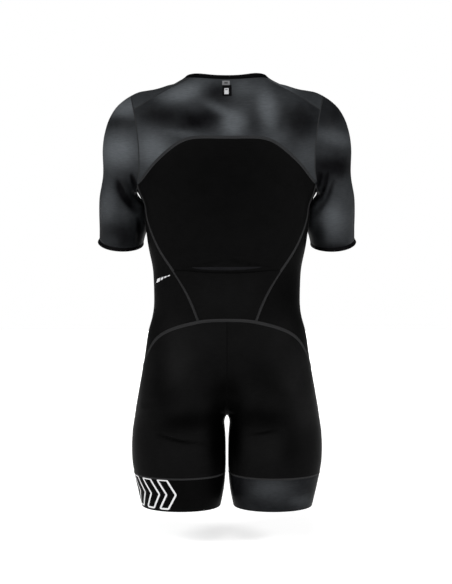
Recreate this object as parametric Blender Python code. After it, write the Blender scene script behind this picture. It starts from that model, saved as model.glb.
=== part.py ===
"""A short-sleeved, one-piece triathlon suit in its worn shape, as the pieces its maker cuts and sews.

The hollow suit keeps the form of a general figure: stacks of oval sections for the trunk, a leg and an
arm, blended into one smooth surface. Seams are marked on that surface from behind, from in front, from
the side, from below or from inside. Each cut piece is a net stretched between its seams, left to slide
over the surface until it lies evenly, and given the thickness of the cloth.

Lengths are in millimetres. +X is the wearer's left, -Y the wearer's front and +Z up. The origin is
between the shoulders, at the level where the neck opening sits on them.
"""

import math
from collections import namedtuple

import bmesh
import bpy
import numpy as np

MM = 0.001

# --- the cloth ---------------------------------------------------------------------------------------
CLOTH = 1.2  # thickness of the stretch knit
SEAM_GAP = 0.3  # between the edges of two pieces that are sewn together
BINDING_CLOTH = 1.6  # the neck binding is the knit folded double
CUFF_CLOTH = 1.8  # the sleeve's gripper band
POCKET_LIFT = 0.9  # between the back panel and the pocket that lies on it
POCKET_GAPE = 3.0  # how far the middle of the pocket's mouth stands away

# --- the figure, as oval sections --------------------------------------------------------------------
# side is where the section is widest; back and front are where it ends; square 2 is an ellipse.
Section = namedtuple("Section", "height middle half_width side back front square")

TRUNK = (
    Section(40, 0, 68, 0, 54, -54, 2.0),
    Section(14, 0, 71, 1, 57, -56, 2.0),
    Section(4, 0, 74.5, 2, 60, -58, 2.0),
    Section(-3, 0, 79.5, 3, 63, -60, 2.05),
    Section(-8, 0, 89, 3, 66, -61, 2.1),
    Section(-16, 0, 105, 4, 70, -63, 2.1),
    Section(-28, 0, 139, 5, 76, -66, 2.2),
    Section(-40, 0, 168, 6, 82, -70, 2.3),
    Section(-62, 0, 179, 8, 91, -78, 2.4),
    Section(-100, 0, 178, 9, 101, -95, 2.4),
    Section(-150, 0, 177, 10, 108, -112, 2.4),
    Section(-200, 0, 177, 11, 109, -121, 2.4),
    Section(-236, 0, 177, 12, 106, -122, 2.35),
    Section(-256, 0, 172.5, 12, 104, -121, 2.3),
    Section(-275, 0, 168.5, 12, 101, -119, 2.3),
    Section(-300, 0, 164.5, 12, 97, -116, 2.3),
    Section(-336, 0, 160.5, 11, 90, -112, 2.3),
    Section(-361, 0, 156, 10, 85, -110, 2.3),
    Section(-385, 0, 150, 9, 81, -108, 2.3),
    Section(-410, 0, 148.5, 8, 78, -107, 2.3),
    Section(-465, 0, 147.5, 6, 77, -107, 2.3),
    Section(-484, 0, 148.5, 5, 79, -108, 2.3),
    Section(-496, 0, 152.5, 5, 82, -108, 2.3),
    Section(-521, 0, 161, 4, 90, -109, 2.3),
    Section(-545, 0, 164, 3, 98, -109, 2.3),
    Section(-570, 0, 165, 3, 104, -107, 2.3),
    Section(-600, 0, 165, 2, 105, -103, 2.3),
    Section(-630, 0, 150, 0, 97, -95, 2.2),
    Section(-649, 0, 118, 0, 80, -82, 2.1),
    Section(-665, 0, 74, 0, 52, -60, 2.0),
    Section(-675, 0, 34, 0, 24, -34, 2.0),
    Section(-680, 0, 6, 0, 5, -8, 2.0),
)

LEG = (
    Section(-556, 88, 30, 2, 30, -30, 2.0),
    Section(-580, 89, 60, 2, 84, -78, 2.0),
    Section(-605, 91, 74, 3, 104, -94, 2.1),
    Section(-630, 93, 82, 3, 112, -99, 2.1),
    Section(-656, 95, 86, 3, 113, -101, 2.1),
    Section(-681, 97, 89.5, 2, 108, -101, 2.1),
    Section(-705, 98.7, 91.8, 1, 101, -101, 2.1),
    Section(-730, 98.3, 95.6, 0, 96, -100, 2.1),
    Section(-754, 98.6, 96.6, -1, 93, -99, 2.1),
    Section(-779, 98.2, 96.6, -1, 90, -96, 2.1),
    Section(-804, 96.8, 94.8, -2, 87, -92, 2.1),
    Section(-828, 95.3, 92.0, -2, 84, -88, 2.1),
    Section(-853, 93.8, 87.6, -3, 80, -84, 2.1),
    Section(-877, 93.8, 81.6, -3, 75, -79, 2.1),
    Section(-900, 93.8, 77.4, -3, 72, -76, 2.1),
)

ARM = (
    Section(-39, 177, 8, 6, 12, -2, 2.0),
    Section(-46, 181, 25, 6, 31, -17, 2.0),
    Section(-56, 185, 36, 7, 43, -28, 2.0),
    Section(-66, 187.5, 42.5, 8, 53, -37, 2.0),
    Section(-78, 190, 46, 8, 60, -45, 2.0),
    Section(-90, 191.5, 50, 8, 65, -51, 2.0),
    Section(-115, 194.5, 54, 7, 69, -58, 2.0),
    Section(-152, 198, 55, 4, 66, -61, 2.0),
    Section(-176, 201, 50, -1, 60, -63, 2.0),
    Section(-201, 205, 45, -6, 54, -66, 2.0),
    Section(-225, 216, 38, -13, 46, -71, 2.0),
    Section(-240, 221, 37, -20, 41, -76, 2.0),
    Section(-250, 220.5, 39.5, -25, 38, -80, 2.0),
    Section(-262, 217, 43, -30, 34, -83, 2.0),
    Section(-275, 214, 46, -34, 29, -87, 2.0),
    Section(-300, 211.5, 48.5, -41, 20, -94, 2.0),
    Section(-316, 211, 48.5, -46, 14, -99, 2.0),
    Section(-335, 214, 46, -51, 7, -104, 2.0),
    Section(-352, 216, 45, -55, 1, -109, 2.0),
    Section(-380, 218, 45, -62, -7, -116, 2.0),
)

HIP_BLEND = 12.0  # softness where the leg runs into the trunk
SHOULDER_BLEND = 12.0  # softness where the arm runs into the trunk
ARMPIT_BLEND = 0.2  # the same below the armpit, where sleeve and side stay apart
ARMPIT_TOP, ARMPIT_BOTTOM = -222, -238  # the softness changes between these heights


class Stack:
    """Oval sections one above another, with smooth values between them."""

    def __init__(self, sections, closed_above=False, closed_below=False):
        rows = sorted(sections)
        self.heights = np.array([row.height for row in rows], float)
        self.closed_above, self.closed_below = closed_above, closed_below
        self.columns = {}
        for name in Section._fields[1:]:
            values = np.array([getattr(row, name) for row in rows], float)
            self.columns[name] = (values, self._slopes(values))

    def _slopes(self, values):
        """A slope for each row that keeps the value between its neighbours'."""
        step = np.diff(self.heights)
        rise = np.diff(values) / step
        slopes = np.zeros(len(values))
        same_way = rise[:-1] * rise[1:] > 0
        before, after = 2 * step[1:] + step[:-1], step[1:] + 2 * step[:-1]
        with np.errstate(divide="ignore", invalid="ignore"):
            mean = (before + after) / (before / rise[:-1] + after / rise[1:])
        slopes[1:-1] = np.where(same_way, mean, 0.0)
        slopes[0], slopes[-1] = rise[0], rise[-1]
        return slopes

    def at(self, name, height):
        values, slopes = self.columns[name]
        height = np.clip(height, self.heights[0], self.heights[-1])
        row = np.clip(np.searchsorted(self.heights, height) - 1, 0, len(values) - 2)
        step = self.heights[row + 1] - self.heights[row]
        t = (height - self.heights[row]) / step
        return (
            values[row] * (1 + 2 * t) * (1 - t) ** 2
            + values[row + 1] * t**2 * (3 - 2 * t)
            + step * t * (1 - t) * (slopes[row] * (1 - t) - slopes[row + 1] * t)
        )

    def _raw(self, points):
        x, y, z = points.T
        across = x - self.at("middle", z)
        side = self.at("side", z)
        along = y - side
        depth = np.where(along > 0, self.at("back", z) - side, side - self.at("front", z))
        square = self.at("square", z)
        wide = np.abs(across / self.at("half_width", z)) ** square
        oval = (wide + np.abs(along / depth) ** square) ** (1 / square)
        far = np.hypot(across, along) * (1 - 1 / np.maximum(oval, 1e-6))
        if self.closed_above:
            far = np.maximum(far, z - self.heights[-1])
        if self.closed_below:
            far = np.maximum(far, self.heights[0] - z)
        return far

    def distance(self, points, nudge=0.25):
        """(signed distance, outward direction), both to first order."""
        rises = [self._raw(points + nudge * axis) - self._raw(points - nudge * axis) for axis in np.eye(3)]
        slope = np.stack(rises, axis=1) / (2 * nudge)
        steep = np.maximum(np.linalg.norm(slope, axis=1), 1e-3)
        return self._raw(points) / steep, slope / steep[:, None]


TRUNK_STACK = Stack(TRUNK, closed_below=True)
LEG_STACK = Stack(LEG, closed_above=True)
ARM_STACK = Stack(ARM, closed_above=True, closed_below=True)


def ease(t):
    t = np.clip(t, 0.0, 1.0)
    return t * t * (3 - 2 * t)


def blended(near, other, softness):
    """The union of two (distance, direction) pairs, rounded where they meet."""
    (a, a_way), (b, b_way) = near, other
    share = 1 / (1 + np.exp(np.clip((a - b) / softness, -60, 60)))
    low = np.minimum(a, b)
    far = low - softness * np.log1p(np.exp(-np.abs(a - b) / softness))
    return far, a_way * share[:, None] + b_way * (1 - share)[:, None]


LIMB_FADES = (-233, -240)  # between these heights the other limb fades from a piece's own surface
FADED_BY = 60.0


def figure(points, limb="both"):
    """(signed distance, outward direction) of the figure's left half; limb names the one a piece is on."""
    z = points[:, 2]
    gone = FADED_BY * ease((LIMB_FADES[0] - z) / (LIMB_FADES[0] - LIMB_FADES[1]))
    body = blended(TRUNK_STACK.distance(points), LEG_STACK.distance(points), HIP_BLEND)
    arm = ARM_STACK.distance(points)
    if limb == "trunk":
        arm = (arm[0] + gone, arm[1])
    if limb == "arm":
        body = (body[0] + gone, body[1])
    lift = ease((z - ARMPIT_BOTTOM) / (ARMPIT_TOP - ARMPIT_BOTTOM))
    softness = ARMPIT_BLEND + (SHOULDER_BLEND - ARMPIT_BLEND) * lift
    far, way = blended(body, arm, softness)
    return far, way / np.linalg.norm(way, axis=1)[:, None]


def settle(points, limb="both", steps=8, longest=12.0):
    """The points moved on to the figure's surface."""
    points = points.copy()
    for _ in range(steps):
        far, way = figure(points, limb)
        points -= np.clip(far, -longest, longest)[:, None] * way
    return points


# --- marking points on the figure --------------------------------------------------------------------
# A mark from behind is seen from an eye at EYE_BEHIND and measured on the plane between the sides.
EYE_BEHIND = np.array([0.0, 5480.0, 284.0])
VIEWS = {  # where a line of sight starts, the axes that its two numbers are on, and which way it runs
    "front": ((0, -400, 0), (0, 2), (0, 1, 0)),
    "side": ((400, 0, 0), (1, 2), (-1, 0, 0)),
    "above": ((0, 0, 120), (0, 1), (0, 0, -1)),
    "crotch": ((0, 0, -790), (0, 1), (0, 0, 1)),
    "inside": ((0, 0, 0), (1, 2), (1, 0, 0)),
}
SIGHT_STEP = 2.0
SIGHT_REACH = 420.0


def first_crossing(starts, ways, limb="both"):
    """Where straight lines first cross the figure's surface."""
    reach = np.arange(0, SIGHT_REACH, SIGHT_STEP)
    on_lines = starts[:, None, :] + reach[None, :, None] * ways[:, None, :]
    inside = figure(on_lines.reshape(-1, 3), limb)[0].reshape(len(starts), -1) < 0
    crossed = inside[:, 1:] != inside[:, :-1]
    if not crossed.any(axis=1).all():
        raise ValueError(f"a line of sight misses the figure: {starts[~crossed.any(axis=1)][0]}")
    low = reach[crossed.argmax(axis=1)]
    high = low + SIGHT_STEP
    was_inside = inside[:, 0]
    for _ in range(12):
        middle = (low + high) / 2
        within = figure(starts + middle[:, None] * ways, limb)[0] < 0
        same = within == was_inside
        low, high = np.where(same, middle, low), np.where(same, high, middle)
    return starts + ((low + high) / 2)[:, None] * ways


def crease(along):
    """The crease between arm and side at each distance along Y: as far from the one as from the other."""
    heights = np.arange(-195.0, -245.0, -1.0)
    points = np.array([[179.0, y, z] for y in along for z in heights])
    for _ in range(12):
        body, body_way = blended(TRUNK_STACK.distance(points), LEG_STACK.distance(points), HIP_BLEND)
        arm, arm_way = ARM_STACK.distance(points)
        turn = np.maximum(body_way[:, 0] - arm_way[:, 0], 0.5)
        points[:, 0] -= np.clip((body - arm) / turn, -4, 4)
    far = figure(points)[0].reshape(len(along), -1)
    points = points.reshape(len(along), -1, 3)
    found = []
    for row, line in zip(far, points):
        last = int((row > 0).argmax())
        share = row[last - 1] / (row[last - 1] - row[last])
        found.append(line[last - 1] + share * (line[last] - line[last - 1]))
    return np.array(found)


Mark = namedtuple("Mark", "view across height")


def place(marks):
    """The marks as points on the figure."""
    starts, ways = [], []
    for mark in marks:
        if mark.view == "crease":
            starts.append(crease([mark.across])[0])
            ways.append(np.zeros(3))
            continue
        if mark.view == "back":
            target = np.array([mark.across, 0.0, mark.height])
            toward = (EYE_BEHIND - target) / np.linalg.norm(EYE_BEHIND - target)
            starts.append(target + 300 * toward)
            ways.append(-toward)
            continue
        start, axes, way = VIEWS[mark.view]
        start = np.array(start, float)
        start[axes[0]] = mark.across
        start[axes[1]] = mark.height
        starts.append(start)
        ways.append(np.array(way, float))
    starts, ways = np.array(starts), np.array(ways)
    seen = np.abs(ways).sum(axis=1) > 0
    starts[seen] = first_crossing(starts[seen], ways[seen]) if seen.any() else starts[seen]
    return starts


def smooth_line(knots, per_span=24):
    """A smooth line through the knots, and the place of each knot in it."""
    knots = np.asarray(knots, float)
    padded = np.vstack([2 * knots[0] - knots[1], knots, 2 * knots[-1] - knots[-2]])
    pieces = []
    for before, start, end, after in zip(padded, padded[1:], padded[2:], padded[3:]):
        spans = ((before, start), (start, end), (end, after))
        gaps = [math.sqrt(np.linalg.norm(b - a)) + 1e-9 for a, b in spans]
        leave = (start - before) / gaps[0] - (end - before) / (gaps[0] + gaps[1]) + (end - start) / gaps[1]
        arrive = (end - start) / gaps[1] - (after - start) / (gaps[1] + gaps[2]) + (after - end) / gaps[2]
        t = np.linspace(0, 1, per_span, endpoint=False)[:, None]
        pieces.append(
            start * (1 + 2 * t) * (1 - t) ** 2
            + end * t**2 * (3 - 2 * t)
            + gaps[1] * t * (1 - t) * (leave * (1 - t) - arrive * t)
        )
    return np.vstack([*pieces, knots[-1:]]), [i * per_span for i in range(len(knots))]


def evenly(line, count, limb="both", start=0, end=-1):
    """count + 1 points along part of the line, the same length apart, on the figure."""
    line = line[start:] if end == -1 else line[start : end + 1]
    run = np.concatenate([[0], np.cumsum(np.linalg.norm(np.diff(line, axis=0), axis=1))])
    at = np.linspace(0, run[-1], count + 1)
    spread = np.stack([np.interp(at, run, line[:, axis]) for axis in range(3)], axis=1)
    spread[1:-1] = settle(spread[1:-1], limb, steps=3)
    on_middle = np.abs(line[:, 0]).max() < 1e-6
    if on_middle:
        spread[:, 0] = 0.0
    return spread


# --- the seams of the left half ----------------------------------------------------------------------
NECK = (  # from the middle of the back round to the zip
    Mark("back", 0, -8),
    Mark("back", 26, -7.4),
    Mark("back", 52, -5.6),
    Mark("back", 71, -3.6),  # the shoulder seam starts here
    Mark("above", 80.4, 2),
    Mark("front", 71, -16),
    Mark("front", 58, -38),
    Mark("front", 42, -56),
    Mark("front", 23, -67),
    Mark("front", 3.3, -71),
)
SHOULDER = (
    Mark("back", 71, -3.6),
    Mark("back", 111, -25),
    Mark("back", 133, -38),
    Mark("back", 154, -50),
    Mark("back", 174, -62),
    Mark("back", 186.8, -70),
)
ARMHOLE = (  # from the shoulder seam down the back, under the arm and up the front
    Mark("back", 186.8, -70),
    Mark("back", 184, -92),
    Mark("back", 182, -113),
    Mark("back", 179.5, -140),
    Mark("back", 178, -174),
    Mark("back", 178.0, -203),
    Mark("crease", 36, 0),  # the yoke, the centre back and the side panel meet here
    Mark("crease", 22, 0),
    Mark("crease", 8, 0),
    Mark("crease", -6, 0),
    Mark("crease", -24, 0),
    Mark("crease", -42, 0),  # the front and the side panel meet here
    Mark("front", 171.5, -200),
    Mark("front", 169, -165),
    Mark("front", 170, -125),
    Mark("front", 176, -88),
    Mark("front", 183, -58),
    Mark("above", 188.5, -12),
    Mark("above", 189.5, 14),
    Mark("back", 188.3, -56),
    Mark("back", 186.8, -70),
)
YOKE_ARC = (
    Mark("back", 0, -126),
    Mark("back", 42, -124),
    Mark("back", 72, -122.5),
    Mark("back", 97, -131),
    Mark("back", 118, -148),
    Mark("back", 138, -167),
    Mark("back", 156, -187),
    Mark("back", 169, -207),
    Mark("crease", 36, 0),
)
SIDE_BACK = (
    Mark("crease", 36, 0),
    Mark("back", 172.5, -250),
    Mark("back", 167, -272),
    Mark("back", 163, -293),
    Mark("back", 157.5, -312),
    Mark("back", 149, -333),
    Mark("back", 137, -357),
    Mark("back", 119, -383),
    Mark("back", 100.5, -408),
    Mark("back", 86.5, -430),
    Mark("back", 74, -453),
    Mark("back", 62.5, -480),
    Mark("back", 54.5, -501),
)
SIDE_FRONT = (
    Mark("crease", -42, 0),
    Mark("front", 167, -250),
    Mark("front", 156, -288),
    Mark("front", 145, -332),
    Mark("front", 134, -380),
    Mark("front", 125, -430),
    Mark("front", 119, -480),
    Mark("front", 114, -540),
    Mark("front", 108, -600),
)
HIP = (  # from the middle of the back round to the middle of the front
    Mark("back", 0, -498),
    Mark("back", 30, -498.6),
    Mark("back", 54.5, -501),  # the side-back seam ends here
    Mark("back", 96, -510.5),
    Mark("back", 126, -521.5),
    Mark("back", 143, -532.5),
    Mark("back", 156, -552),
    Mark("side", 27, -575),
    Mark("side", 0, -592),
    Mark("side", -35, -603),
    Mark("front", 134, -606),
    Mark("front", 108, -600),  # the side-front seam ends here
    Mark("front", 75, -590),
    Mark("front", 38, -581),
    Mark("front", 0, -578),
)
CENTRE_SEAT = (  # from the hip seam down the back and under to the crotch
    Mark("back", 0, -498),
    Mark("back", 0, -560),
    Mark("back", 0, -610),
    Mark("back", 0, -650),
    Mark("crotch", 0, 30),
    Mark("crotch", 0, -4),
)
CENTRE_FRONT_LOW = (  # from the hip seam down the front and under to the crotch
    Mark("front", 0, -578),
    Mark("front", 0, -610),
    Mark("front", 0, -645),
    Mark("front", 0, -668),
    Mark("crotch", 0, -36),
    Mark("crotch", 0, -4),
)
ZIP_EDGE = 3.3  # each front stops this far from the middle, beside the zip's chain
ZIP_END = -432
ZIP_SIDE = (
    Mark("front", ZIP_EDGE, -71),
    Mark("front", ZIP_EDGE, -120),
    Mark("front", ZIP_EDGE, -200),
    Mark("front", ZIP_EDGE, -300),
    Mark("front", ZIP_EDGE, ZIP_END),
)
BELOW_ZIP = (
    Mark("front", 0, ZIP_END - 8),
    Mark("front", 0, -510),
    Mark("front", 0, -578),
)
BAND_TOP, HEM = -806.0, -879.0
LEG_MIDDLE = (95.0, -2.0)
CUFF_MIDDLE = np.array([215.0, -51.0, -340.0])
CUFF_TILT = (0.074, -0.20)  # how the cuff's ring falls away to the side and to the back
CUFF_DEEP = 7.0
CUFF_FLARE = 3.6  # how far the lip stands away from the sleeve at its outer side
CUFF_FLARE_INSIDE = 1.2  # and at the side that faces the body

# How many steps each seam is cut into
STEPS = {
    "neck_back": 4,
    "shoulder": 6,
    "neck_front": 8,
    "armhole_back": 8,
    "armpit_back": 6,
    "armpit_front": 6,
    "armhole_front": 10,
    "side": 14,
    "hip_back": 5,
    "hip_side": 12,
    "hip_front": 7,
    "centre_seat": 13,
    "inseam": 7,
    "sleeve": 12,
    "band": 2,
}


def line_between(marks, count, limb="both", first=0, last=None):
    line, places = smooth_line(place(marks))
    last = len(marks) - 1 if last is None else last
    return evenly(line, count, limb, places[first], places[last])


def leg_ring(height, turns=240):
    """A level ring on the leg, from the inside round the back, the outside and the front."""
    angles = np.linspace(math.pi, -math.pi, turns + 1)
    starts = np.tile([LEG_MIDDLE[0], LEG_MIDDLE[1], height], (turns + 1, 1))
    ways = np.stack([np.cos(angles), np.sin(angles), np.zeros(turns + 1)], axis=1)
    return first_crossing(starts, ways, "trunk")


def cuff_ring(lower, turns=240):
    """A tilted ring on the arm, from the inside round the back, the outside and the front."""
    angles = np.linspace(math.pi, -math.pi, turns + 1)
    ways = np.stack([np.cos(angles), np.sin(angles), np.zeros(turns + 1)], axis=1)
    ways[:, 2] = CUFF_TILT[0] * ways[:, 0] + CUFF_TILT[1] * ways[:, 1]
    ways /= np.linalg.norm(ways, axis=1)[:, None]
    starts = np.tile(CUFF_MIDDLE - np.array([0, 0, lower]), (turns + 1, 1))
    return first_crossing(starts, ways, "arm")


def all_seams():
    n = STEPS
    seams = {
        "neck_back": line_between(NECK, n["neck_back"], "trunk", 0, 3),
        "neck_front": line_between(NECK, n["neck_front"], "trunk", 3, 9),
        "shoulder": line_between(SHOULDER, n["shoulder"], "trunk"),
        "armhole_back": line_between(ARMHOLE, n["armhole_back"], "both", 0, 6),
        "armpit_back": line_between(ARMHOLE, n["armpit_back"], "both", 6, 9),
        "armpit_front": line_between(ARMHOLE, n["armpit_front"], "both", 9, 11),
        "armhole_front": line_between(ARMHOLE, n["armhole_front"], "both", 11, 20),
        "yoke_arc": line_between(YOKE_ARC, n["neck_back"] + n["shoulder"], "trunk"),
        "side_back": line_between(SIDE_BACK, n["side"], "trunk"),
        "side_front": line_between(SIDE_FRONT, n["side"], "trunk"),
        "hip_back": line_between(HIP, n["neck_back"] + n["shoulder"], "trunk", 0, 2),
        "hip_side": line_between(HIP, n["hip_side"], "trunk", 2, 11),
        "hip_front": line_between(HIP, n["neck_front"] + n["shoulder"], "trunk", 11, 14),
        "yoke_middle": line_between(
            [Mark("back", 0, -8), Mark("back", 0, -50), Mark("back", 0, -90), Mark("back", 0, -126)],
            n["armhole_back"], "trunk"),
        "back_middle": line_between(
            [Mark("back", 0, -126 - i * 62) for i in range(7)], n["side"], "trunk"),
        "seat": line_between(CENTRE_SEAT, n["centre_seat"], "trunk"),
        "front_low": line_between(CENTRE_FRONT_LOW, n["centre_seat"], "trunk"),
        "below_zip": line_between(BELOW_ZIP, 7, "trunk"),
    }
    zip_side = line_between(ZIP_SIDE, n["side"] + n["armhole_front"] - 8, "trunk")
    seams["front_middle"] = np.vstack([zip_side, seams["below_zip"]])
    crotch = seams["seat"][-1]
    inner = [Mark("inside", LEG_MIDDLE[1], h) for h in (-712, -735, -760, -785)]
    band_inner = place([Mark("inside", LEG_MIDDLE[1], BAND_TOP)])
    line = smooth_line(np.vstack([[crotch], place(inner), band_inner]))[0]
    seams["inseam"] = evenly(line, n["inseam"], "trunk")
    columns = n["hip_back"] + n["hip_side"] + n["hip_front"]
    seams["band_top"] = evenly(leg_ring(BAND_TOP), columns, "trunk")
    seams["hem"] = evenly(leg_ring(HEM), columns, "trunk")
    seams["band_side"] = line_between(
        [Mark("inside", LEG_MIDDLE[1], h) for h in (BAND_TOP, -845, HEM)], n["band"], "trunk")
    around = n["armhole_back"] + n["armpit_back"] + n["armpit_front"] + n["armhole_front"]
    seams["cuff_top"] = evenly(cuff_ring(0.0), around, "arm")
    return seams


# --- nets --------------------------------------------------------------------------------------------
def between(top, bottom, left, right):
    """Values inside a four-sided net from those along its edges."""
    v = np.linspace(0, 1, len(left))[:, None, None]
    u = np.linspace(0, 1, len(top))[None, :, None]
    across = (1 - u) * left[:, None] + u * right[:, None]
    down = (1 - v) * top[None] + v * bottom[None]
    corners = (1 - v) * ((1 - u) * top[0] + u * top[-1])
    corners = corners + v * ((1 - u) * bottom[0] + u * bottom[-1])
    return across + down - corners


def slackened(net, limb, rounds=90):
    """The net slid over the surface until its meshes are even; its edges stay put."""
    net = net.copy()
    for _ in range(rounds):
        middle = (net[:-2, 1:-1] + net[2:, 1:-1] + net[1:-1, :-2] + net[1:-1, 2:]) / 4
        net[1:-1, 1:-1] = settle(middle.reshape(-1, 3), limb, steps=1).reshape(middle.shape)
    net[1:-1, 1:-1] = settle(net[1:-1, 1:-1].reshape(-1, 3), limb, steps=5).reshape(middle.shape)
    return net


def flat_net(top, bottom, left, right, limb="trunk"):
    """A net for a piece that lies fairly flat."""
    net = between(top, bottom, left, right)
    inner = net[1:-1, 1:-1]
    net[1:-1, 1:-1] = settle(inner.reshape(-1, 3), limb, steps=14).reshape(inner.shape)
    return slackened(net, limb)


def turn_net(top, bottom, left, right, middle=LEG_MIDDLE):
    """A net for a piece that goes round an upright limb."""
    sides = {}
    for name, edge in (("top", top), ("bottom", bottom), ("left", left), ("right", right)):
        angle = np.arctan2(edge[:, 1] - middle[1], edge[:, 0] - middle[0])
        sides[name] = np.unwrap(angle)
    sides["left"] += 2 * math.pi * round((sides["top"][0] - sides["left"][0]) / (2 * math.pi))
    sides["bottom"] += 2 * math.pi * round((sides["left"][-1] - sides["bottom"][0]) / (2 * math.pi))
    sides["right"] += 2 * math.pi * round((sides["top"][-1] - sides["right"][0]) / (2 * math.pi))
    edges = []
    for name, edge in (("top", top), ("bottom", bottom), ("left", left), ("right", right)):
        edges.append(np.stack([sides[name], edge[:, 2]], axis=1))
    plan = between(*edges)[1:-1, 1:-1].reshape(-1, 2)
    starts = np.stack([np.full(len(plan), middle[0]), np.full(len(plan), middle[1]), plan[:, 1]], axis=1)
    ways = np.stack([np.cos(plan[:, 0]), np.sin(plan[:, 0]), np.zeros(len(plan))], axis=1)
    net = between(top, bottom, left, right)
    net[1:-1, 1:-1] = first_crossing(starts, ways, "trunk").reshape(len(left) - 2, len(top) - 2, 3)
    return slackened(net, "trunk", 6)


def sleeve_net(top, bottom, count):
    """A net from the armhole to the cuff, closed by the seam under the arm."""
    v = np.linspace(0, 1, count + 1)[:, None, None]
    net = (1 - v) * top[None] + v * bottom[None]
    net[1:-1] = settle(net[1:-1].reshape(-1, 3), "arm", steps=14).reshape(net[1:-1].shape)
    for _ in range(8):
        ring = np.concatenate([net[:, -2:-1], net, net[:, 1:2]], axis=1)
        middle = (ring[:-2, 1:-1] + ring[2:, 1:-1] + ring[1:-1, :-2] + ring[1:-1, 2:]) / 4
        net[1:-1] = settle(middle.reshape(-1, 3), "arm", steps=1).reshape(middle.shape)
    net[1:-1] = settle(net[1:-1].reshape(-1, 3), "arm", steps=5).reshape(middle.shape)
    return net


def unit(vectors):
    return vectors / np.maximum(np.linalg.norm(vectors, axis=-1, keepdims=True), 1e-9)


def sewn(net, ways, sides="tblr", gap=SEAM_GAP / 2):
    """The net with its sewn edges (top, bottom, left, right) drawn in by half the gap."""
    moved = net.copy()
    rows, cols = net.shape[:2]
    edges = {
        "t": (0, slice(None)), "b": (rows - 1, slice(None)),
        "l": (slice(None), 0), "r": (slice(None), cols - 1),
    }
    inner = {
        "t": (1, slice(None)), "b": (rows - 2, slice(None)),
        "l": (slice(None), 1), "r": (slice(None), cols - 2),
    }
    for side in sides:
        line, next_line, out = net[edges[side]], net[inner[side]], ways[edges[side]]
        inward = unit(np.cross(np.gradient(line, axis=0), out))
        if (inward * (next_line - line)).sum() < 0:
            inward = -inward
        moved[edges[side]] += gap * inward
    for corner, row, col in (("tl", 0, 0), ("tr", 0, -1), ("bl", -1, 0), ("br", -1, -1)):
        if corner[0] not in sides or corner[1] not in sides:
            continue
        here = net[row, col]
        one = unit(net[row, 1 if col == 0 else -2] - here)
        two = unit(net[1 if row == 0 else -2, col] - here)
        sine = max(np.linalg.norm(np.cross(one, two)), 0.3)
        moved[row, col] = here + gap / sine * (one + two)
    return moved


class Cloth:
    """A piece of cloth: a net, the outward direction at each of its points, and how far out it lies."""

    def __init__(self, net, limb="trunk", sides="tblr", lift=0.0, thick=CLOTH):
        self.ways = figure(net.reshape(-1, 3), limb)[1].reshape(net.shape)
        middle = np.abs(net[..., 0]) < 1e-6
        self.ways[middle, 0] = 0.0
        self.ways = unit(self.ways)
        self.net = sewn(net, self.ways, sides)
        self.lift = np.zeros(net.shape[:2]) + lift
        self.thick = thick

    def both_halves(self):
        flip = np.array([-1.0, 1.0, 1.0])
        self.net = np.concatenate([self.net[:, :0:-1] * flip, self.net], axis=1)
        self.ways = np.concatenate([self.ways[:, :0:-1] * flip, self.ways], axis=1)
        self.lift = np.concatenate([self.lift[:, :0:-1], self.lift], axis=1)
        return self

    def build(self, name, colour, mirrored=False, ring=False):
        outer = self.net + self.ways * self.lift[..., None]
        inner = outer - self.ways * self.thick
        if mirrored:
            outer, inner = outer * [-1, 1, 1], inner * [-1, 1, 1]
        return plate(name, outer, inner, colour, ring)


WALL_RULE = np.array([0.0, 0.55, 0.83])


def plate(name, outer, inner, colour, ring=False):
    """A closed sheet between an outer and an inner net of the same size."""
    if ring:
        outer, inner = outer[:, :-1], inner[:, :-1]
    rows, cols = outer.shape[:2]
    points = np.vstack([outer.reshape(-1, 3), inner.reshape(-1, 3)])
    number = np.arange(rows * cols).reshape(rows, cols)
    if ring:
        number = np.concatenate([number, number[:, :1]], axis=1)
    under = number + rows * cols
    faces = []
    for row in range(number.shape[0] - 1):
        for col in range(number.shape[1] - 1):
            a, b = number[row, col], number[row, col + 1]
            c, d = number[row + 1, col + 1], number[row + 1, col]
            shorter = np.linalg.norm(points[a] - points[c]) <= np.linalg.norm(points[b] - points[d])
            pair = ((a, b, c), (a, c, d)) if shorter else ((a, b, d), (b, c, d))
            faces += pair
            faces += [tuple(corner + rows * cols for corner in reversed(face)) for face in pair]
    rims = [(number[0], under[0], 1), (number[-1], under[-1], 0)]
    if not ring:
        rims += [(number[:, 0], under[:, 0], 0), (number[:, -1], under[:, -1], 1)]
    for top, low, turned in rims:
        for a, b, c, d in zip(top, top[1:], low[1:], low):
            # Both walls of a seam are split the same way, so that a twisted seam keeps its gap.
            first = np.dot(points[a] - points[b], WALL_RULE) > 0
            pair = ((a, b, c), (a, c, d)) if first else ((a, b, d), (b, c, d))
            faces += [tuple(reversed(face)) for face in pair] if turned else pair
    a, b, c = points[number[0, 0]], points[number[0, 1]], points[number[1, 0]]
    outward = points[number[0, 0]] - points[under[0, 0]]
    if np.dot(np.cross(b - a, c - a), outward) > 0:
        faces = [tuple(reversed(face)) for face in faces]
    mesh = bpy.data.meshes.new(name)
    mesh.from_pydata((points * MM).tolist(), [], [tuple(int(i) for i in face) for face in faces])
    work = bmesh.new()
    work.from_mesh(mesh)
    if work.calc_volume(signed=True) < 0:
        bmesh.ops.reverse_faces(work, faces=work.faces)
    work.to_mesh(mesh)
    work.free()
    return shown(name, mesh, colour)


def shown(name, mesh, colour):
    node = bpy.data.objects.new(name, mesh)
    bpy.context.collection.objects.link(node)
    mesh.materials.clear()
    mesh.materials.append(knit(name, colour))
    return node


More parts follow.
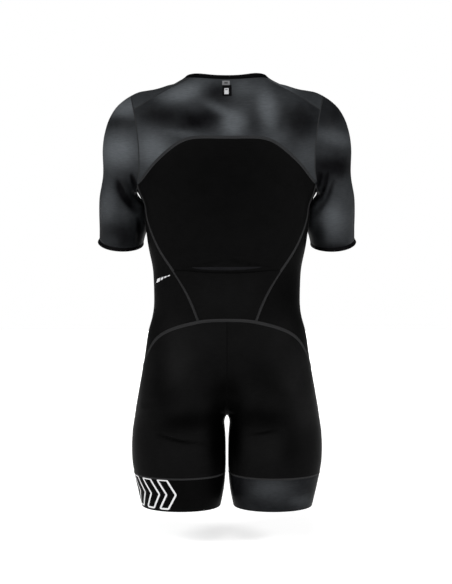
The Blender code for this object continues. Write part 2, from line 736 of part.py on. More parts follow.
def knit(name, colour, rough=0.75, metal=0.0):
    material = bpy.data.materials.new(name)
    material.use_nodes = True
    shader = material.node_tree.nodes["Principled BSDF"]
    shader.inputs["Base Color"].default_value = (*colour, 1.0)
    shader.inputs["Roughness"].default_value = rough
    shader.inputs["Metallic"].default_value = metal
    material.diffuse_color = (*colour, 1.0)
    return material


BLACK = (0.012, 0.012, 0.013)
PRINT = (0.055, 0.056, 0.060)
GREY = (0.10, 0.10, 0.11)
METAL = (0.30, 0.30, 0.31)


# --- the pieces --------------------------------------------------------------------------------------
POCKET_MOUTH = (
    Mark("back", 0, -401),
    Mark("back", 40, -400),
    Mark("back", 72, -397.5),
    Mark("back", 92, -396),
    Mark("back", 108, -396.5),
)
POCKET_SIDE = (
    Mark("back", 108, -396.5),
    Mark("back", 100.5, -408),
    Mark("back", 86.5, -430),
    Mark("back", 74, -453),
    Mark("back", 62.5, -480),
    Mark("back", 54.5, -501),
)
BINDING_DEEP = 8.5
BINDING_LIFT = 0.3
PATCH = (18.0, -21.5, -43.0)  # width, top and bottom of the patch below the neck binding
PATCH_CLOTH = 0.5
PATCH_LIFT = 0.3
CHAIN_HALF = 2.9
CHAIN_LIFT, CHAIN_THICK = 0.5, 1.8
TAPE_HALF = 13.0
TAPE_LIFT, TAPE_THICK = -1.7, 0.6
SLIDER_HEIGHT = -92.0


def joined(*edges):
    """Edges that follow one another, as one edge."""
    return np.vstack([edges[0], *(edge[1:] for edge in edges[1:])])


def make_upper_back(seams):
    top = joined(seams["neck_back"], seams["shoulder"])
    yoke = flat_net(top, seams["yoke_arc"], seams["yoke_middle"], seams["armhole_back"])
    Cloth(yoke, sides="tbr").both_halves().build("back_yoke", PRINT)
    back = flat_net(seams["yoke_arc"], seams["hip_back"], seams["back_middle"], seams["side_back"])
    Cloth(back, sides="tbr").both_halves().build("centre_back", BLACK)


def make_pocket():
    """The pocket lies on the back panel and its mouth stands away in the middle."""
    rows, cols = 5, 7
    top = line_between(POCKET_MOUTH, cols, "trunk")
    right = line_between(POCKET_SIDE, rows, "trunk")
    bottom = line_between(HIP, cols, "trunk", 0, 2)
    middle = [Mark("back", 0, -401), Mark("back", 0, -448), Mark("back", 0, -498)]
    left = line_between(middle, rows, "trunk")
    net = flat_net(top, bottom, left, right)
    pocket = Cloth(net, sides="br")
    down = np.linspace(0, 1, rows + 1)[:, None]
    across = np.linspace(0, 1, cols + 1)[None, :]
    gape = POCKET_GAPE * (1 - ease(down / 0.42)) * np.cos(across * math.pi / 2) ** 1.2
    pocket.lift = CLOTH + POCKET_LIFT + gape
    pocket.both_halves().build("back_pocket", BLACK)


def make_patch():
    width, top, bottom = PATCH
    marks = []
    for height in np.linspace(top, bottom, 3):
        marks += [Mark("back", across, height) for across in np.linspace(0, width / 2, 2)]
    net = settle(place(marks), "trunk", steps=2).reshape(3, 2, 3)
    net[:, 0, 0] = 0.0
    patch = Cloth(net, sides="", lift=PATCH_LIFT + PATCH_CLOTH, thick=PATCH_CLOTH)
    patch.both_halves().build("neck_patch", BLACK)


def make_fronts_and_sides(seams):
    top = joined(seams["neck_front"][::-1], seams["shoulder"])
    right = joined(seams["armhole_front"][::-1], seams["side_front"])
    front = flat_net(top, seams["hip_front"][::-1], seams["front_middle"], right)
    over = joined(seams["armpit_back"], seams["armpit_front"])
    side = flat_net(over, seams["hip_side"], seams["side_back"], seams["side_front"])
    for hand, mirrored in (("left", False), ("right", True)):
        Cloth(front).build("front_" + hand, PRINT, mirrored)
        Cloth(side).build("side_panel_" + hand, BLACK, mirrored)


def make_shorts(seams):
    hips = joined(seams["hip_back"][::2], seams["hip_side"], seams["hip_front"][::2])
    left = joined(seams["seat"], seams["inseam"])
    right = joined(seams["front_low"], seams["inseam"])
    short = turn_net(hips, seams["band_top"], left, right)
    band = turn_net(seams["band_top"], seams["hem"], seams["band_side"], seams["band_side"])
    for hand, mirrored, colour in (("left", False, BLACK), ("right", True, GREY)):
        Cloth(short).build("short_" + hand, BLACK, mirrored)
        Cloth(band, sides="tlr").build("leg_band_" + hand, colour, mirrored)


def make_sleeves(seams):
    n = STEPS
    loop = joined(seams["armpit_back"][::-1], seams["armhole_back"][::-1])
    loop = joined(loop, seams["armhole_front"][::-1], seams["armpit_front"][::-1])
    sleeve = sleeve_net(loop, seams["cuff_top"], n["sleeve"])
    rings = [cuff_ring(CUFF_DEEP * share) for share in (0.0, 0.5, 1.0)]
    around = n["armpit_back"] + n["armpit_front"] + n["armhole_back"] + n["armhole_front"]
    cuff = np.stack([evenly(ring, around, "arm") for ring in rings])
    cuff[:, -1] = cuff[:, 0]
    outward = ease((cuff[:, :, 0] - CUFF_MIDDLE[0] + 40) / 80)
    flare = CUFF_FLARE_INSIDE + (CUFF_FLARE - CUFF_FLARE_INSIDE) * outward
    for hand, mirrored in (("left", False), ("right", True)):
        Cloth(sleeve, "arm").build("sleeve_" + hand, PRINT, mirrored)
        band = Cloth(cuff, "arm", sides="t", thick=CUFF_CLOTH)
        band.lift = 0.3 + np.array([[0.0], [0.45], [1.0]]) * (flare - 0.3)
        band.build("cuff_" + hand, BLACK, mirrored, ring=True)


def make_binding(seams):
    """The folded binding stands on the neck edge and stops on either side of the zip."""
    edge = joined(seams["neck_back"], seams["neck_front"])
    ways = figure(edge, "trunk")[1]
    ways[0, 0] = 0.0
    along = unit(np.gradient(edge, axis=0))
    up = unit(np.cross(along, ways))
    if up[0, 2] < 0:
        up = -up
    up[0, 0] = 0.0
    up[-1, 0] = 0.0
    rises = (SEAM_GAP, BINDING_DEEP / 2, BINDING_DEEP)
    rows = [settle(edge + up * rise, "trunk", steps=4) for rise in rises]
    net = np.stack(rows[::-1])
    net[:, 0, 0] = 0.0
    net[:, -1, 0] = ZIP_EDGE
    binding = Cloth(net, sides="br", lift=BINDING_LIFT, thick=BINDING_CLOTH)
    binding.both_halves().build("neck_binding", BLACK)


def zip_strip(name, half_width, columns, top, bottom, count, lift, thick, colour):
    marks = []
    for height in np.linspace(top, bottom, count + 1):
        marks += [Mark("front", across, height) for across in np.linspace(0, half_width, columns + 1)]
    net = place(marks).reshape(count + 1, columns + 1, 3)
    net[:, 0, 0] = 0.0
    Cloth(net[:, ::1], sides="", lift=lift, thick=thick).both_halves().build(name, colour)


def frame_on_front(height):
    """A point on the middle of the front, the way up along the cloth and the way out of it."""
    point = place([Mark("front", 0, height)])[0]
    out = figure(point[None], "trunk")[1][0]
    out[0] = 0.0
    out = unit(out)
    up = np.array([0.0, out[2], -out[1]])
    return point, up, out


def slab(name, outline, half_width, origin, up, out, colour, rough=0.35, metal=0.9):
    """A closed block: an outline on (up, out), as wide as twice half_width."""
    work = bmesh.new()
    sides = []
    for across in (-half_width, half_width):
        ring = []
        for rise, stand in outline:
            spot = origin + np.array([across, 0, 0]) + up * rise + out * stand
            ring.append(work.verts.new(tuple(spot * MM)))
        sides.append(ring)
    work.faces.new(sides[0])
    work.faces.new(sides[1][::-1])
    for i in range(len(outline)):
        j = (i + 1) % len(outline)
        work.faces.new((sides[0][i], sides[1][i], sides[1][j], sides[0][j]))
    bmesh.ops.recalc_face_normals(work, faces=work.faces)
    if work.calc_volume(signed=True) < 0:
        bmesh.ops.reverse_faces(work, faces=work.faces)
    mesh = bpy.data.meshes.new(name)
    work.to_mesh(mesh)
    work.free()
    node = bpy.data.objects.new(name, mesh)
    bpy.context.collection.objects.link(node)
    mesh.materials.append(knit(name, colour, rough, metal))
    return node


AXLE = 4.6  # how far the pull tab's axle stands off the cloth
AXLE_SQUARE = 0.6  # half the axle's thickness
EYE, EYE_HOLE = 1.9, 1.15  # radii of the pull tab's eye
TAB_LONG, TAB_THICK, TAB_HALF = 24.0, 1.4, 2.6
POST_HALF, POST_INNER = 4.0, 2.9
SLIDER_LONG, SLIDER_LOW, SLIDER_HIGH = 11.0, 0.8, 2.4


def make_slider():
    """The slider with the posts and axle that carry the pull tab."""
    point, up, out = frame_on_front(SLIDER_HEIGHT)
    half = SLIDER_LONG / 2
    body = [(-half, SLIDER_LOW), (half, SLIDER_LOW), (half, SLIDER_HIGH), (-half, SLIDER_HIGH)]
    slider = slab("zip_slider", body, POST_HALF + 0.3, point, up, out, METAL)
    gantry = []
    low, top = SLIDER_HIGH - 0.5, AXLE + AXLE_SQUARE
    inner_top = AXLE - AXLE_SQUARE
    for across, stand in (
        (-POST_HALF, low), (-POST_HALF, top), (POST_HALF, top), (POST_HALF, low),
        (POST_INNER, low), (POST_INNER, inner_top), (-POST_INNER, inner_top), (-POST_INNER, low),
    ):
        gantry.append((across, stand))
    work = bmesh.new()
    sides = []
    for rise in (-AXLE_SQUARE, AXLE_SQUARE):
        ring = [
            work.verts.new(tuple((point + np.array([across, 0, 0]) + up * rise + out * stand) * MM))
            for across, stand in gantry
        ]
        sides.append(ring)
    work.faces.new(sides[0])
    work.faces.new(sides[1][::-1])
    for i in range(len(gantry)):
        j = (i + 1) % len(gantry)
        work.faces.new((sides[0][i], sides[1][i], sides[1][j], sides[0][j]))
    bmesh.ops.recalc_face_normals(work, faces=work.faces)
    mesh = bpy.data.meshes.new("slider_posts")
    work.to_mesh(mesh)
    work.free()
    posts = bpy.data.objects.new("slider_posts", mesh)
    bpy.context.collection.objects.link(posts)
    posts.hide_render = True
    posts.display_type = "WIRE"
    joint = slider.modifiers.new("posts", "BOOLEAN")
    joint.operation = "UNION"
    joint.solver = "EXACT"
    joint.object = posts
    return point, up, out


def make_pull(point, up, out):
    """The pull tab: an eye round the slider's axle and a flat tongue that hangs down from it."""
    axle = point + out * AXLE
    count = 12
    angles = [math.radians(-90 + 30 * (i + 0.5)) for i in range(count)]
    hole = [(EYE_HOLE * math.sin(a), EYE_HOLE * math.cos(a)) for a in angles]
    rim = [(EYE * math.sin(a), EYE * math.cos(a)) for a in angles]
    # Turned so that the first and last of the ring lie either side of straight down.
    work = bmesh.new()
    rings = []
    for across in (-TAB_HALF, TAB_HALF):
        made = {}
        for kind, ring in (("hole", hole), ("rim", rim)):
            made[kind] = [
                work.verts.new(tuple((np.array([across, 0, 0]) + up * rise + out * stand) * MM))
                for rise, stand in ring
            ]
        tip = [(-TAB_LONG, TAB_THICK / 2), (-TAB_LONG, -TAB_THICK / 2)]
        made["tip"] = [
            work.verts.new(tuple((np.array([across, 0, 0]) + up * rise + out * stand) * MM))
            for rise, stand in tip
        ]
        rings.append(made)
    for made in rings:
        for i in range(count):
            j = (i + 1) % count
            work.faces.new((made["hole"][i], made["hole"][j], made["rim"][j], made["rim"][i]))
        work.faces.new((made["rim"][0], made["tip"][0], made["tip"][1], made["rim"][-1]))
    near, far = rings
    for i in range(count):
        j = (i + 1) % count
        work.faces.new((near["hole"][i], near["hole"][j], far["hole"][j], far["hole"][i]))
        if i != count - 1:
            work.faces.new((near["rim"][i], near["rim"][j], far["rim"][j], far["rim"][i]))
    outline = ("rim", 0), ("tip", 0), ("tip", 1), ("rim", -1)
    for (kind, i), (next_kind, j) in zip(outline, outline[1:]):
        work.faces.new((near[kind][i], near[next_kind][j], far[next_kind][j], far[kind][i]))
    bmesh.ops.recalc_face_normals(work, faces=work.faces)
    if work.calc_volume(signed=True) < 0:
        bmesh.ops.reverse_faces(work, faces=work.faces)
    mesh = bpy.data.meshes.new("zip_pull")
    work.to_mesh(mesh)
    work.free()
    pull = bpy.data.objects.new("zip_pull", mesh)
    bpy.context.collection.objects.link(pull)
    pull.location = tuple(axle * MM)
    mesh.materials.append(knit("zip_pull", METAL, 0.35, 0.9))


def main():
    for thing in list(bpy.data.objects):
        bpy.data.objects.remove(thing, do_unlink=True)
    seams = all_seams()
    make_upper_back(seams)
    make_pocket()
    make_patch()
    make_fronts_and_sides(seams)
    make_shorts(seams)
    make_sleeves(seams)
    make_binding(seams)
    zip_strip("zip_chain", CHAIN_HALF, 1, -66.0, ZIP_END + 2.0, 19, CHAIN_LIFT, CHAIN_THICK, BLACK)
    zip_strip("zip_tape", TAPE_HALF, 2, -76.0, ZIP_END - 4.0, 19, TAPE_LIFT, TAPE_THICK, BLACK)
    make_pull(*make_slider())


main()
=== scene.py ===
"""Looks of a short-sleeved triathlon suit: stretch knit, flatlock seams, bindings, zip and studio.

Each cloth panel is the outer skin of its solid, smoothed, creased and made thick again.
Lengths are in millimetres where nothing else is said. +X is the wearer's left, -Y the front.
"""

import math
from collections import namedtuple

import bmesh
import bpy
import numpy as np
from bpy.props import FloatProperty, FloatVectorProperty, IntProperty, PointerProperty
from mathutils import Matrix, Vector
from mathutils.bvhtree import BVHTree


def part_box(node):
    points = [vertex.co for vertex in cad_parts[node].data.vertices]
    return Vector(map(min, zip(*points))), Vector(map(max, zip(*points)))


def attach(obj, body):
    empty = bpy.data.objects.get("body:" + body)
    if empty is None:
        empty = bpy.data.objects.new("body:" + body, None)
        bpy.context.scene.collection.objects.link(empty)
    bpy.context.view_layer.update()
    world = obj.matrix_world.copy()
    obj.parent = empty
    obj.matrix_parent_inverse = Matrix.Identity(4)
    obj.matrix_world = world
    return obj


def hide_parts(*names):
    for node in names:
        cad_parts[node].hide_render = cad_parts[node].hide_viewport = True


bl_info = {
    "name": "Triathlon suit",
    "version": (1, 0, 0),
    "blender": (4, 5, 0),
    "location": "View3D > Sidebar > Suit",
    "description": "Dresses the solids of a triathlon suit in knit, seams, bindings and a zip",
    "category": "Object",
}

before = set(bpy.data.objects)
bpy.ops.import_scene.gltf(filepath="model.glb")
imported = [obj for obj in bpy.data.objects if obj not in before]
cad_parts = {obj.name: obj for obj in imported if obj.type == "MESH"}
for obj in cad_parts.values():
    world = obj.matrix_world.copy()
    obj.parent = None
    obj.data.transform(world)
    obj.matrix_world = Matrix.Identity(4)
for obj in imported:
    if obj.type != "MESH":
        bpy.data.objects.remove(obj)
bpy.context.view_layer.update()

MM = 0.001
# In metres: points nearer to each other than the first are one point, and edges of panels nearer to
# each other than the second are sewn together.
SAME, SEWN = 1e-6, 0.0008


def named(fact, hand):
    """A fact with left or right in place of each * in it."""
    if isinstance(fact, tuple):
        return tuple(named(part, hand) for part in fact)
    return fact.replace("*", hand) if isinstance(fact, str) else fact


def both(kind, *facts):
    """The left and the right one of what the suit has twice."""
    return [kind(*named(facts, hand)) for hand in ("left", "right")]


# --- the cut ---
# Flat sizes in metres before the cloth is stretched over the wearer. finish names the knit.
Cut = namedtuple("Cut", "node width length area finish slot")
UPPER = (
    Cut("back_yoke", 0.345, 0.200, 0.0430, "print", "print_knit"),
    Cut("centre_back", 0.350, 0.350, 0.0895, "black", "black_knit"),
    *both(Cut, "front_*", 0.230, 0.585, 0.0870, "print", "print_knit"),
    *both(Cut, "side_panel_*", 0.210, 0.370, 0.0470, "black", "black_knit"),
    *both(Cut, "sleeve_*", 0.330, 0.285, 0.0670, "print", "print_knit"),
)
LOWER = (
    *both(Cut, "short_*", 0.520, 0.303, 0.1220, "black", "black_knit"),
    Cut("leg_band_left", 0.480, 0.074, 0.0345, "band", "black_band"),
    Cut("leg_band_right", 0.480, 0.074, 0.0345, "grey_band", "grey_band"),
)

# Trims, in metres: the rim of a solid has edges shorter than wall; thick and edge are the cloth's
# thickness and the rounding of its edges.
Trim = namedtuple("Trim", "node wall thick edge finish slot width length area")
TRIMS = (
    Trim("back_pocket", 0.0013, 0.0012, 0.0004, "black", "black_knit", 0.205, 0.092, 0.0152),
    Trim("neck_binding", 0.0017, 0.0019, 0.0008, "trim", "trim_knit", 0.470, 0.010, None),
    *both(Trim, "cuff_*", 0.0019, 0.0024, 0.0011, "trim", "trim_knit", 0.350, 0.010, None),
    Trim("neck_patch", 0.0006, 0.0006, 0.0002, "trim", "black_knit", 0.018, 0.0215, None),
)
PANEL_WALL, PANEL_EDGE = 0.0013, 0.0003
SHARP, BENT = math.radians(60), math.radians(50)  # bends rounded off, and shaded as an edge

# --- the form ---
# Middle lines in metres: of the arms, across, and front to back above and below a height; and of
# the legs, across, below the crotch.
ARM_ACROSS, ARM_HIGH, ARM_LOW, ARM_TURNS = 0.21, -0.03, -0.05, -0.28
LEG_ACROSS, CROTCH = 0.095, -0.69

# --- marks on the suit ---
# Marks on the back are seen from an eye behind the suit and measured on the plane y = 0.
EYE_BEHIND = (0.0, 5480.0, 284.0)
# A mark shows where the cloth's normal leans to the view by more than the first, and in full where
# it leans further by the second.
FACES_FROM, FACES_OVER = -0.05, 0.35

# Creases from each side: depth below the cloth (a ridge is negative) and half width.
Fold = namedtuple("Fold", "depth wide points")
FOLDS = {
    "back": (
        # left sleeve
        Fold(3.4, 5, ((194, -199), (188, -216), (181, -233))),
        Fold(3.0, 9, ((224, -206), (213, -236), (197, -260), (180, -280))),
        Fold(-1.6, 8, ((216, -200), (203, -226), (192, -250))),
        Fold(2.6, 6, ((178, -286), (177, -314), (180, -346))),
        # right sleeve
        Fold(3.6, 5, ((-189, -196), (-183, -219), (-177, -240))),
        Fold(3.2, 5, ((-205, -196), (-198, -226), (-186, -256))),
        Fold(2.8, 7, ((-216, -208), (-202, -246), (-187, -270), (-174, -286))),
        Fold(-1.8, 7, ((-214, -190), (-203, -222), (-190, -262))),
        # back of the thighs
        Fold(3.8, 4, ((145, -731), (120, -741), (90, -749), (40, -752))),
        Fold(-1.2, 6, ((141, -720), (115, -730), (84, -738), (44, -740))),
        Fold(3.4, 4, ((-44, -733), (-66, -732), (-84, -729), (-107, -724))),
        # above the pocket
        Fold(1.5, 4, ((4, -371), (-28, -379), (-58, -386), (-94, -390))),
        Fold(1.2, 4, ((6, -373), (26, -380), (60, -387), (98, -390))),
    ),
    "front": (
        Fold(2.2, 8, ((178, -196), (168, -214), (150, -236))),
        Fold(2.2, 8, ((-178, -196), (-168, -214), (-150, -236))),
        Fold(1.6, 9, ((140, -610), (110, -650), (70, -676), (34, -690))),
        Fold(1.6, 9, ((-140, -610), (-110, -650), (-70, -676), (-34, -690))),
        Fold(1.2, 8, ((60, -462), (90, -470), (118, -466))),
        Fold(1.2, 8, ((-60, -470), (-90, -476), (-118, -470))),
        Fold(2.0, 8, ((222, -206), (206, -232), (196, -262))),
        Fold(2.0, 8, ((-222, -210), (-206, -236), (-196, -264))),
    ),
}
FOLD_REACH = 3  # half widths
BESIDE = 0.5  # how much the cloth swells up beside a crease
FADE = 0.6  # how soon a fold or a tapering strip comes to its full size: less is sooner

# Where the cloth gives: it is moved by so much round a point, over a soft ellipsoid of half sizes.
Swell = namedtuple("Swell", "centre sizes move")
SWELLS = (
    Swell((78, -25, -8), (24, 50, 24), (10, 0, -5)),
    Swell((-78, -25, -8), (24, 50, 24), (-7, 0, -5)),
    Swell((168, -30, -260), (18, 60, 17), (-9, 0, 0)),
    Swell((-168, -30, -260), (18, 60, 17), (9, 0, 0)),
)

# The neck binding's free edge rises by so much of its height: behind, and more at the left and the
# right side. In metres: the side begins at the first distance from the middle, is full after the
# second, and ends at the third, after falling over the fourth. The back begins likewise.
BINDING_RISE = (-0.14, 0.22, 0.34)
NECK_SIDE, NECK_BACK = (0.025, 0.030, 0.080, 0.020), (-0.045, 0.040)

# Clouds of each panel from each side: across, height, half width, half height, turn in degrees and
# tone. The first is the panel's ground. On the printed knit 0 is black smoke and 1 the palest grey.
# Each panel has its own, because each was cut from another place of the printed cloth.
CLOUDS_AND_PAINTED_LIGHT = {
    ("back_yoke", "back"): (
        (0, -80, 600, 600, 0, 0.34), (88, -34, 52, 20, -16, 1), (156, -58, 26, 14, 0, 0.3),
        (128, -82, 66, 25, 6, 0.05), (52, -90, 56, 25, -8, 0.02), (147, -152, 32, 40, -42, 0.86),
        (92, -119, 40, 8, 8, 0.5), (18, -38, 34, 22, 14, 0.1), (2, -76, 48, 10, 26, 0.62),
        (-12, -98, 24, 28, 0, 0.86), (-36, -26, 28, 18, 0, 0.56), (-58, -98, 15, 30, 8, 0.2),
        (-84, -70, 21, 48, -16, 0.88), (-114, -118, 32, 14, -32, 0.62),
        (-150, -92, 54, 42, -14, 0.05), (-160, -168, 22, 32, 20, 0.46),
    ),
    ("sleeve_left", "back"): (
        (210, -120, 600, 600, 0, 0.32), (214, -62, 46, 24, 0, 1), (216, -98, 50, 13, 0, 0.18),
        (222, -152, 42, 34, 0, 0.92), (202, -232, 30, 36, 20, 0.1), (241, -266, 17, 40, 0, 0.56),
        (212, -326, 54, 34, 0, 0.05), (244, -336, 24, 20, 0, 0.2),
    ),
    ("sleeve_right", "back"): (
        (-210, -120, 600, 600, 0, 0.26), (-207, -76, 44, 34, 0, 0.1),
        (-222, -128, 46, 17, 12, 0.54), (-214, -186, 50, 28, 0, 0), (-190, -214, 20, 26, 0, 0.06),
        (-238, -232, 24, 22, 0, 0.3), (-208, -288, 34, 38, -10, 0.7),
        (-184, -328, 16, 28, 0, 0.12), (-214, -354, 60, 13, 0, 0.05),
    ),
    ("leg_band_right", "back"): (
        (-80, -846, 600, 600, 0, 0.1), (-92, -846, 46, 26, 6, 0.36), (-150, -872, 26, 14, 0, 0.34),
        (-14, -846, 26, 44, 0, 0.02),
    ),
    ("leg_band_right", "front"): (
        (-90, -846, 600, 600, 0, 0.24), (-90, -840, 50, 24, 0, 0.62),
    ),
    ("front_left", "back"): ((150, -60, 600, 600, 0, 0.38),),
    ("front_right", "back"): (
        (-150, -60, 600, 600, 0, 0.36), (-104, -28, 34, 24, 0, 0.85),
    ),
    ("front_left", "front"): (
        (80, -160, 600, 600, 0, 0.3), (90, -110, 52, 40, 25, 0.85), (60, -260, 48, 60, 10, 0.55),
        (126, -190, 44, 34, -10, 0.02), (20, -170, 30, 40, 0, 0.05), (60, -400, 110, 70, 0, 0),
        (60, -540, 160, 100, 0, 0),
    ),
    ("front_right", "front"): (
        (-80, -160, 600, 600, 0, 0.3), (-70, -180, 56, 34, -20, 0.85),
        (-110, -96, 34, 44, 0, 0.02), (-36, -110, 30, 26, 0, 0.5), (-60, -330, 80, 70, 0, 0),
        (-60, -500, 160, 130, 0, 0),
    ),
    ("sleeve_left", "front"): (
        (214, -160, 600, 600, 0, 0.3), (214, -120, 34, 36, 0, 0.75), (224, -220, 40, 36, 0, 0.06),
        (214, -300, 34, 30, 0, 0.66),
    ),
    ("sleeve_right", "front"): (
        (-214, -160, 600, 600, 0, 0.28), (-214, -150, 34, 40, 0, 0.72),
        (-224, -236, 40, 34, 0, 0.04), (-214, -320, 40, 24, 0, 0.4),
    ),
    # on the black knit the clouds are painted light and shade: 0 is painted shade, as in the seat's
    # cleft, and 1 a painted highlight, as on the cheeks
    ("centre_back", "back"): (
        (0, -300, 600, 600, 0, 0.34), (10, -230, 110, 90, 0, 0.26), (0, -460, 90, 55, 0, 0.52),
    ),
    ("side_panel_left", "back"): (
        (140, -400, 600, 600, 0, 0.4), (150, -500, 60, 60, 0, 0.5),
    ),
    ("side_panel_right", "back"): (
        (-140, -400, 600, 600, 0, 0.34), (-130, -440, 40, 50, 0, 0.2),
        (-160, -540, 40, 50, 0, 0.5),
    ),
    ("short_left", "back"): (
        (90, -640, 600, 600, 0, 0.45), (60, -530, 90, 30, 0, 0.55), (98, -590, 34, 56, 0, 0.72),
        (158, -600, 18, 60, 0, 0.66), (130, -650, 24, 50, 0, 0.3), (76, -706, 66, 22, -6, 0.06),
        (100, -776, 44, 30, 0, 0.52), (20, -750, 22, 78, 0, 0), (4, -655, 36, 44, 0, 0),
    ),
    ("short_right", "back"): (
        (-90, -640, 600, 600, 0, 0.45), (-60, -530, 80, 30, 0, 0.5), (-78, -620, 40, 40, 0, 0.34),
        (-148, -606, 24, 60, 0, 0.92), (-160, -680, 22, 44, 0, 0.85), (-70, -700, 56, 24, 6, 0.08),
        (-78, -766, 42, 32, 0, 0.6), (-132, -764, 22, 44, 0, 0.26), (-14, -740, 18, 62, 0, 0),
        (-2, -655, 34, 44, 0, 0),
    ),
    ("leg_band_left", "back"): (
        (90, -840, 600, 600, 0, 0.22), (26, -840, 26, 44, 0, 0.04),
    ),
}
BARE_TONE = 0.4  # of a panel that has no clouds on that side
CLOUD_FALL, CLOUD_POWER = 1.1, 1.3  # how a cloud fades out
CREASE_SHADE = 0.10  # how much painted shade darkens a crease's tone for each millimetre of its depth

# Seams: the pairs of panels that they join (edge stands for an open edge), the strip's half width
# and rise, how far it sits off the join, and the lowest point that it reaches.
Seam = namedtuple("Seam", "name pairs thread half_wide rise off lowest", defaults=(0, -1000))
SEAMS = (
    Seam("yoke_seam", ("back_yoke centre_back",), "dim", 3.0, 0.6, off=1.6),
    *both(Seam, "shoulder_seam_*", ("back_yoke front_*",), "dim", 1.3, 0.3),
    *both(
        Seam, "armhole_seam_*",
        ("back_yoke sleeve_*", "front_* sleeve_*", "side_panel_* sleeve_*"), "dim", 1.2, 0.3,
    ),
    *both(Seam, "side_back_seam_*", ("centre_back side_panel_*",), "pale", 2.8, 0.7),
    *both(Seam, "side_front_seam_*", ("front_* side_panel_*",), "pale", 2.3, 0.7),
    Seam("hip_seam", ("edge short_left", "edge short_right"), "pale", 3.4, 0.85, lowest=-700),
    *both(Seam, "band_seam_*", ("leg_band_* short_*",), "pale", 2.0, 0.7),
    Seam("centre_front_seam", ("front_left front_right",), "black", 1.8, 0.5),
    Seam("seat_seam", ("short_left short_right",), "black", 0.9, 0.15),
    *both(Seam, "inseam_*", ("short_* short_*", "leg_band_* leg_band_*"), "black", 1.6, 0.4),
    *both(Seam, "underarm_seam_*", ("sleeve_* sleeve_*",), "dim", 1.6, 0.4),
    Seam(
        "neck_seam", ("edge back_yoke", "edge front_left", "edge front_right"), "black", 1.7, 0.35,
        lowest=-71.2,
    ),
)
# A stitch's length and how far it slants, in metres, and the lines of needle thread in a seam.
STITCH, SLANT, NEEDLES = 0.0015, 0.0011, 3
UP_THE_BACK = (0, 0.1, 0)  # in metres, the place that a strip off its join is shifted towards

# The hip seam over the pocket's foot: the foot's half width, where the seam lies flat, its lift.
POCKET_FOOT = (58, 66, 2.3)

# Sections of the strips, as shares of their half width and rise.
STRIP = ((-1, 0), (-0.8, 0.75), (-0.4, 1), (0, 0.8), (0.4, 1), (0.8, 0.75), (1, 0))
ROUND_STRIP = ((-1, 0), (-0.85, 0.6), (-0.5, 0.9), (0, 1), (0.5, 0.9), (0.85, 0.6), (1, 0))
FLAT_STRIP = ((-1, 0.4), (-0.85, 1), (0.85, 1), (1, 0.4))
TAPER_END = 0.02  # what a tapering strip keeps of its size at its ends

# --- zip ---
TOOTH = (0.0034, 0.0013, 0.0017)  # across, along and out, in metres
TOOTH_ROUNDING, TOOTH_BENT = 0.00035, math.radians(40)
TOOTH_NARROWS = 90  # share of its length that a tooth loses for each metre towards its tip
# In metres: a tooth's middle from the zip's middle and below the chain's face, the bare chain below
# the lowest tooth and above the highest, and a place in front of the suit.
TOOTH_ASIDE, TOOTH_SUNK = 0.0011, 0.0008
CHAIN_ENDS = (0.002, 0.001)
AHEAD = -0.3

# --- prints ---
# Outlined chevrons on the black leg band: where each one's point is round the leg, from the side
# towards the back, and how wide and thick it is.
Chevron = namedtuple("Chevron", "tip wide arm")
CHEVRONS = (
    Chevron(-60, 15, 15), Chevron(-22, 16, 16), Chevron(16, 17, 18),
    Chevron(54, 18, 20), Chevron(92, 18, 20), Chevron(128, 18, 20),
)
CHEVRON_LOW, CHEVRON_HIGH = -873, -812
CHEVRON_CORNER = 2.2
STROKE = 1.9  # half width of their outline
FILM_HIGH, FILM_SUNK, FILM_STEP = 0.00022, 0.00002, 0.0016  # in metres, of the outline's strip
BAR_LIFT = 0.12  # of the side bars above the cloth
LEG_AXIS, LEG_ROUND = (0.0948, -0.002, 0), 0.087  # the leg's middle line and radius, in metres

# Slanted bars on the side panel, seen from behind: corners in order.
SIDE_BARS = (
    ((143.0, -421.5), (136.5, -418.0), (134.5, -410.5), (141.0, -413.5)),
    ((134.7, -416.2), (129.7, -413.8), (128.2, -408.6), (133.2, -411.0)),
    ((127.6, -412.0), (122.6, -409.8), (121.7, -406.6), (126.7, -408.8)),
    ((120.6, -409.0), (116.0, -407.0), (115.4, -404.6), (120.0, -406.6)),
)
# Plain blocks under the neck: name, finish, left, right, top, bottom and lift.
LABEL_BLOCKS = (
    ("label_tab", "grey", -5.5, 9.5, -12.5, -21.5, 0.10),
    ("label_slot", "black_film", -1.4, 5.4, -15.4, -18.4, 0.20),
    ("label_block", "pale_film", -3.3, 5.3, -27.5, -39.5, 0.10),
    ("label_window", "grey", -1.6, 3.6, -29.0, -31.5, 0.20),
)
# The elastic lip above the pocket's mouth, paler than the binding as a painted highlight: its size
# in metres, and its line seen from behind.
LIP_HALF_WIDE, LIP_HIGH = 0.0036, 0.0007
POCKET_LIP = ((71, -390), (46, -392), (0, -392.5), (-40, -391.5), (-71, -389))

# --- studio ---
# Soft boxes, in metres and watts: name, place, side and power. Those in front make no gloss.
LIGHTS = (
    ("key", (3.0, 2.6, 1.5), 1.6, 110),
    ("fill", (-3.2, 2.4, 1.3), 1.6, 110),
    ("top", (0.2, 3.6, 2.8), 1.4, 50),
    ("front_key", (-0.9, -4.2, 0.3), 1.4, 110),
    ("front_fill", (0.9, -4.2, 0.0), 1.4, 70),
)
LIT_PLACE = (0, 0, -0.4)  # what the soft boxes face
FLOOR_SIZE, FLOOR_GREY, WHITE = 6, (0.9, 0.9, 0.9, 1), (1, 1, 1, 1)  # the floor's side in metres


# --- properties ---
def number(name, text, value, **kind):
    """A number that a user may change."""
    return FloatProperty(name=name, description=text, default=value, **kind)


def length(name, text, value):
    """A size that a user may change."""
    return number(name, text, value, unit="LENGTH", subtype="DISTANCE")


def colour(name, text, value):
    """A colour that a user may change."""
    return FloatVectorProperty(
        name=name, description=text, default=value, subtype="COLOR", min=0, max=1
    )


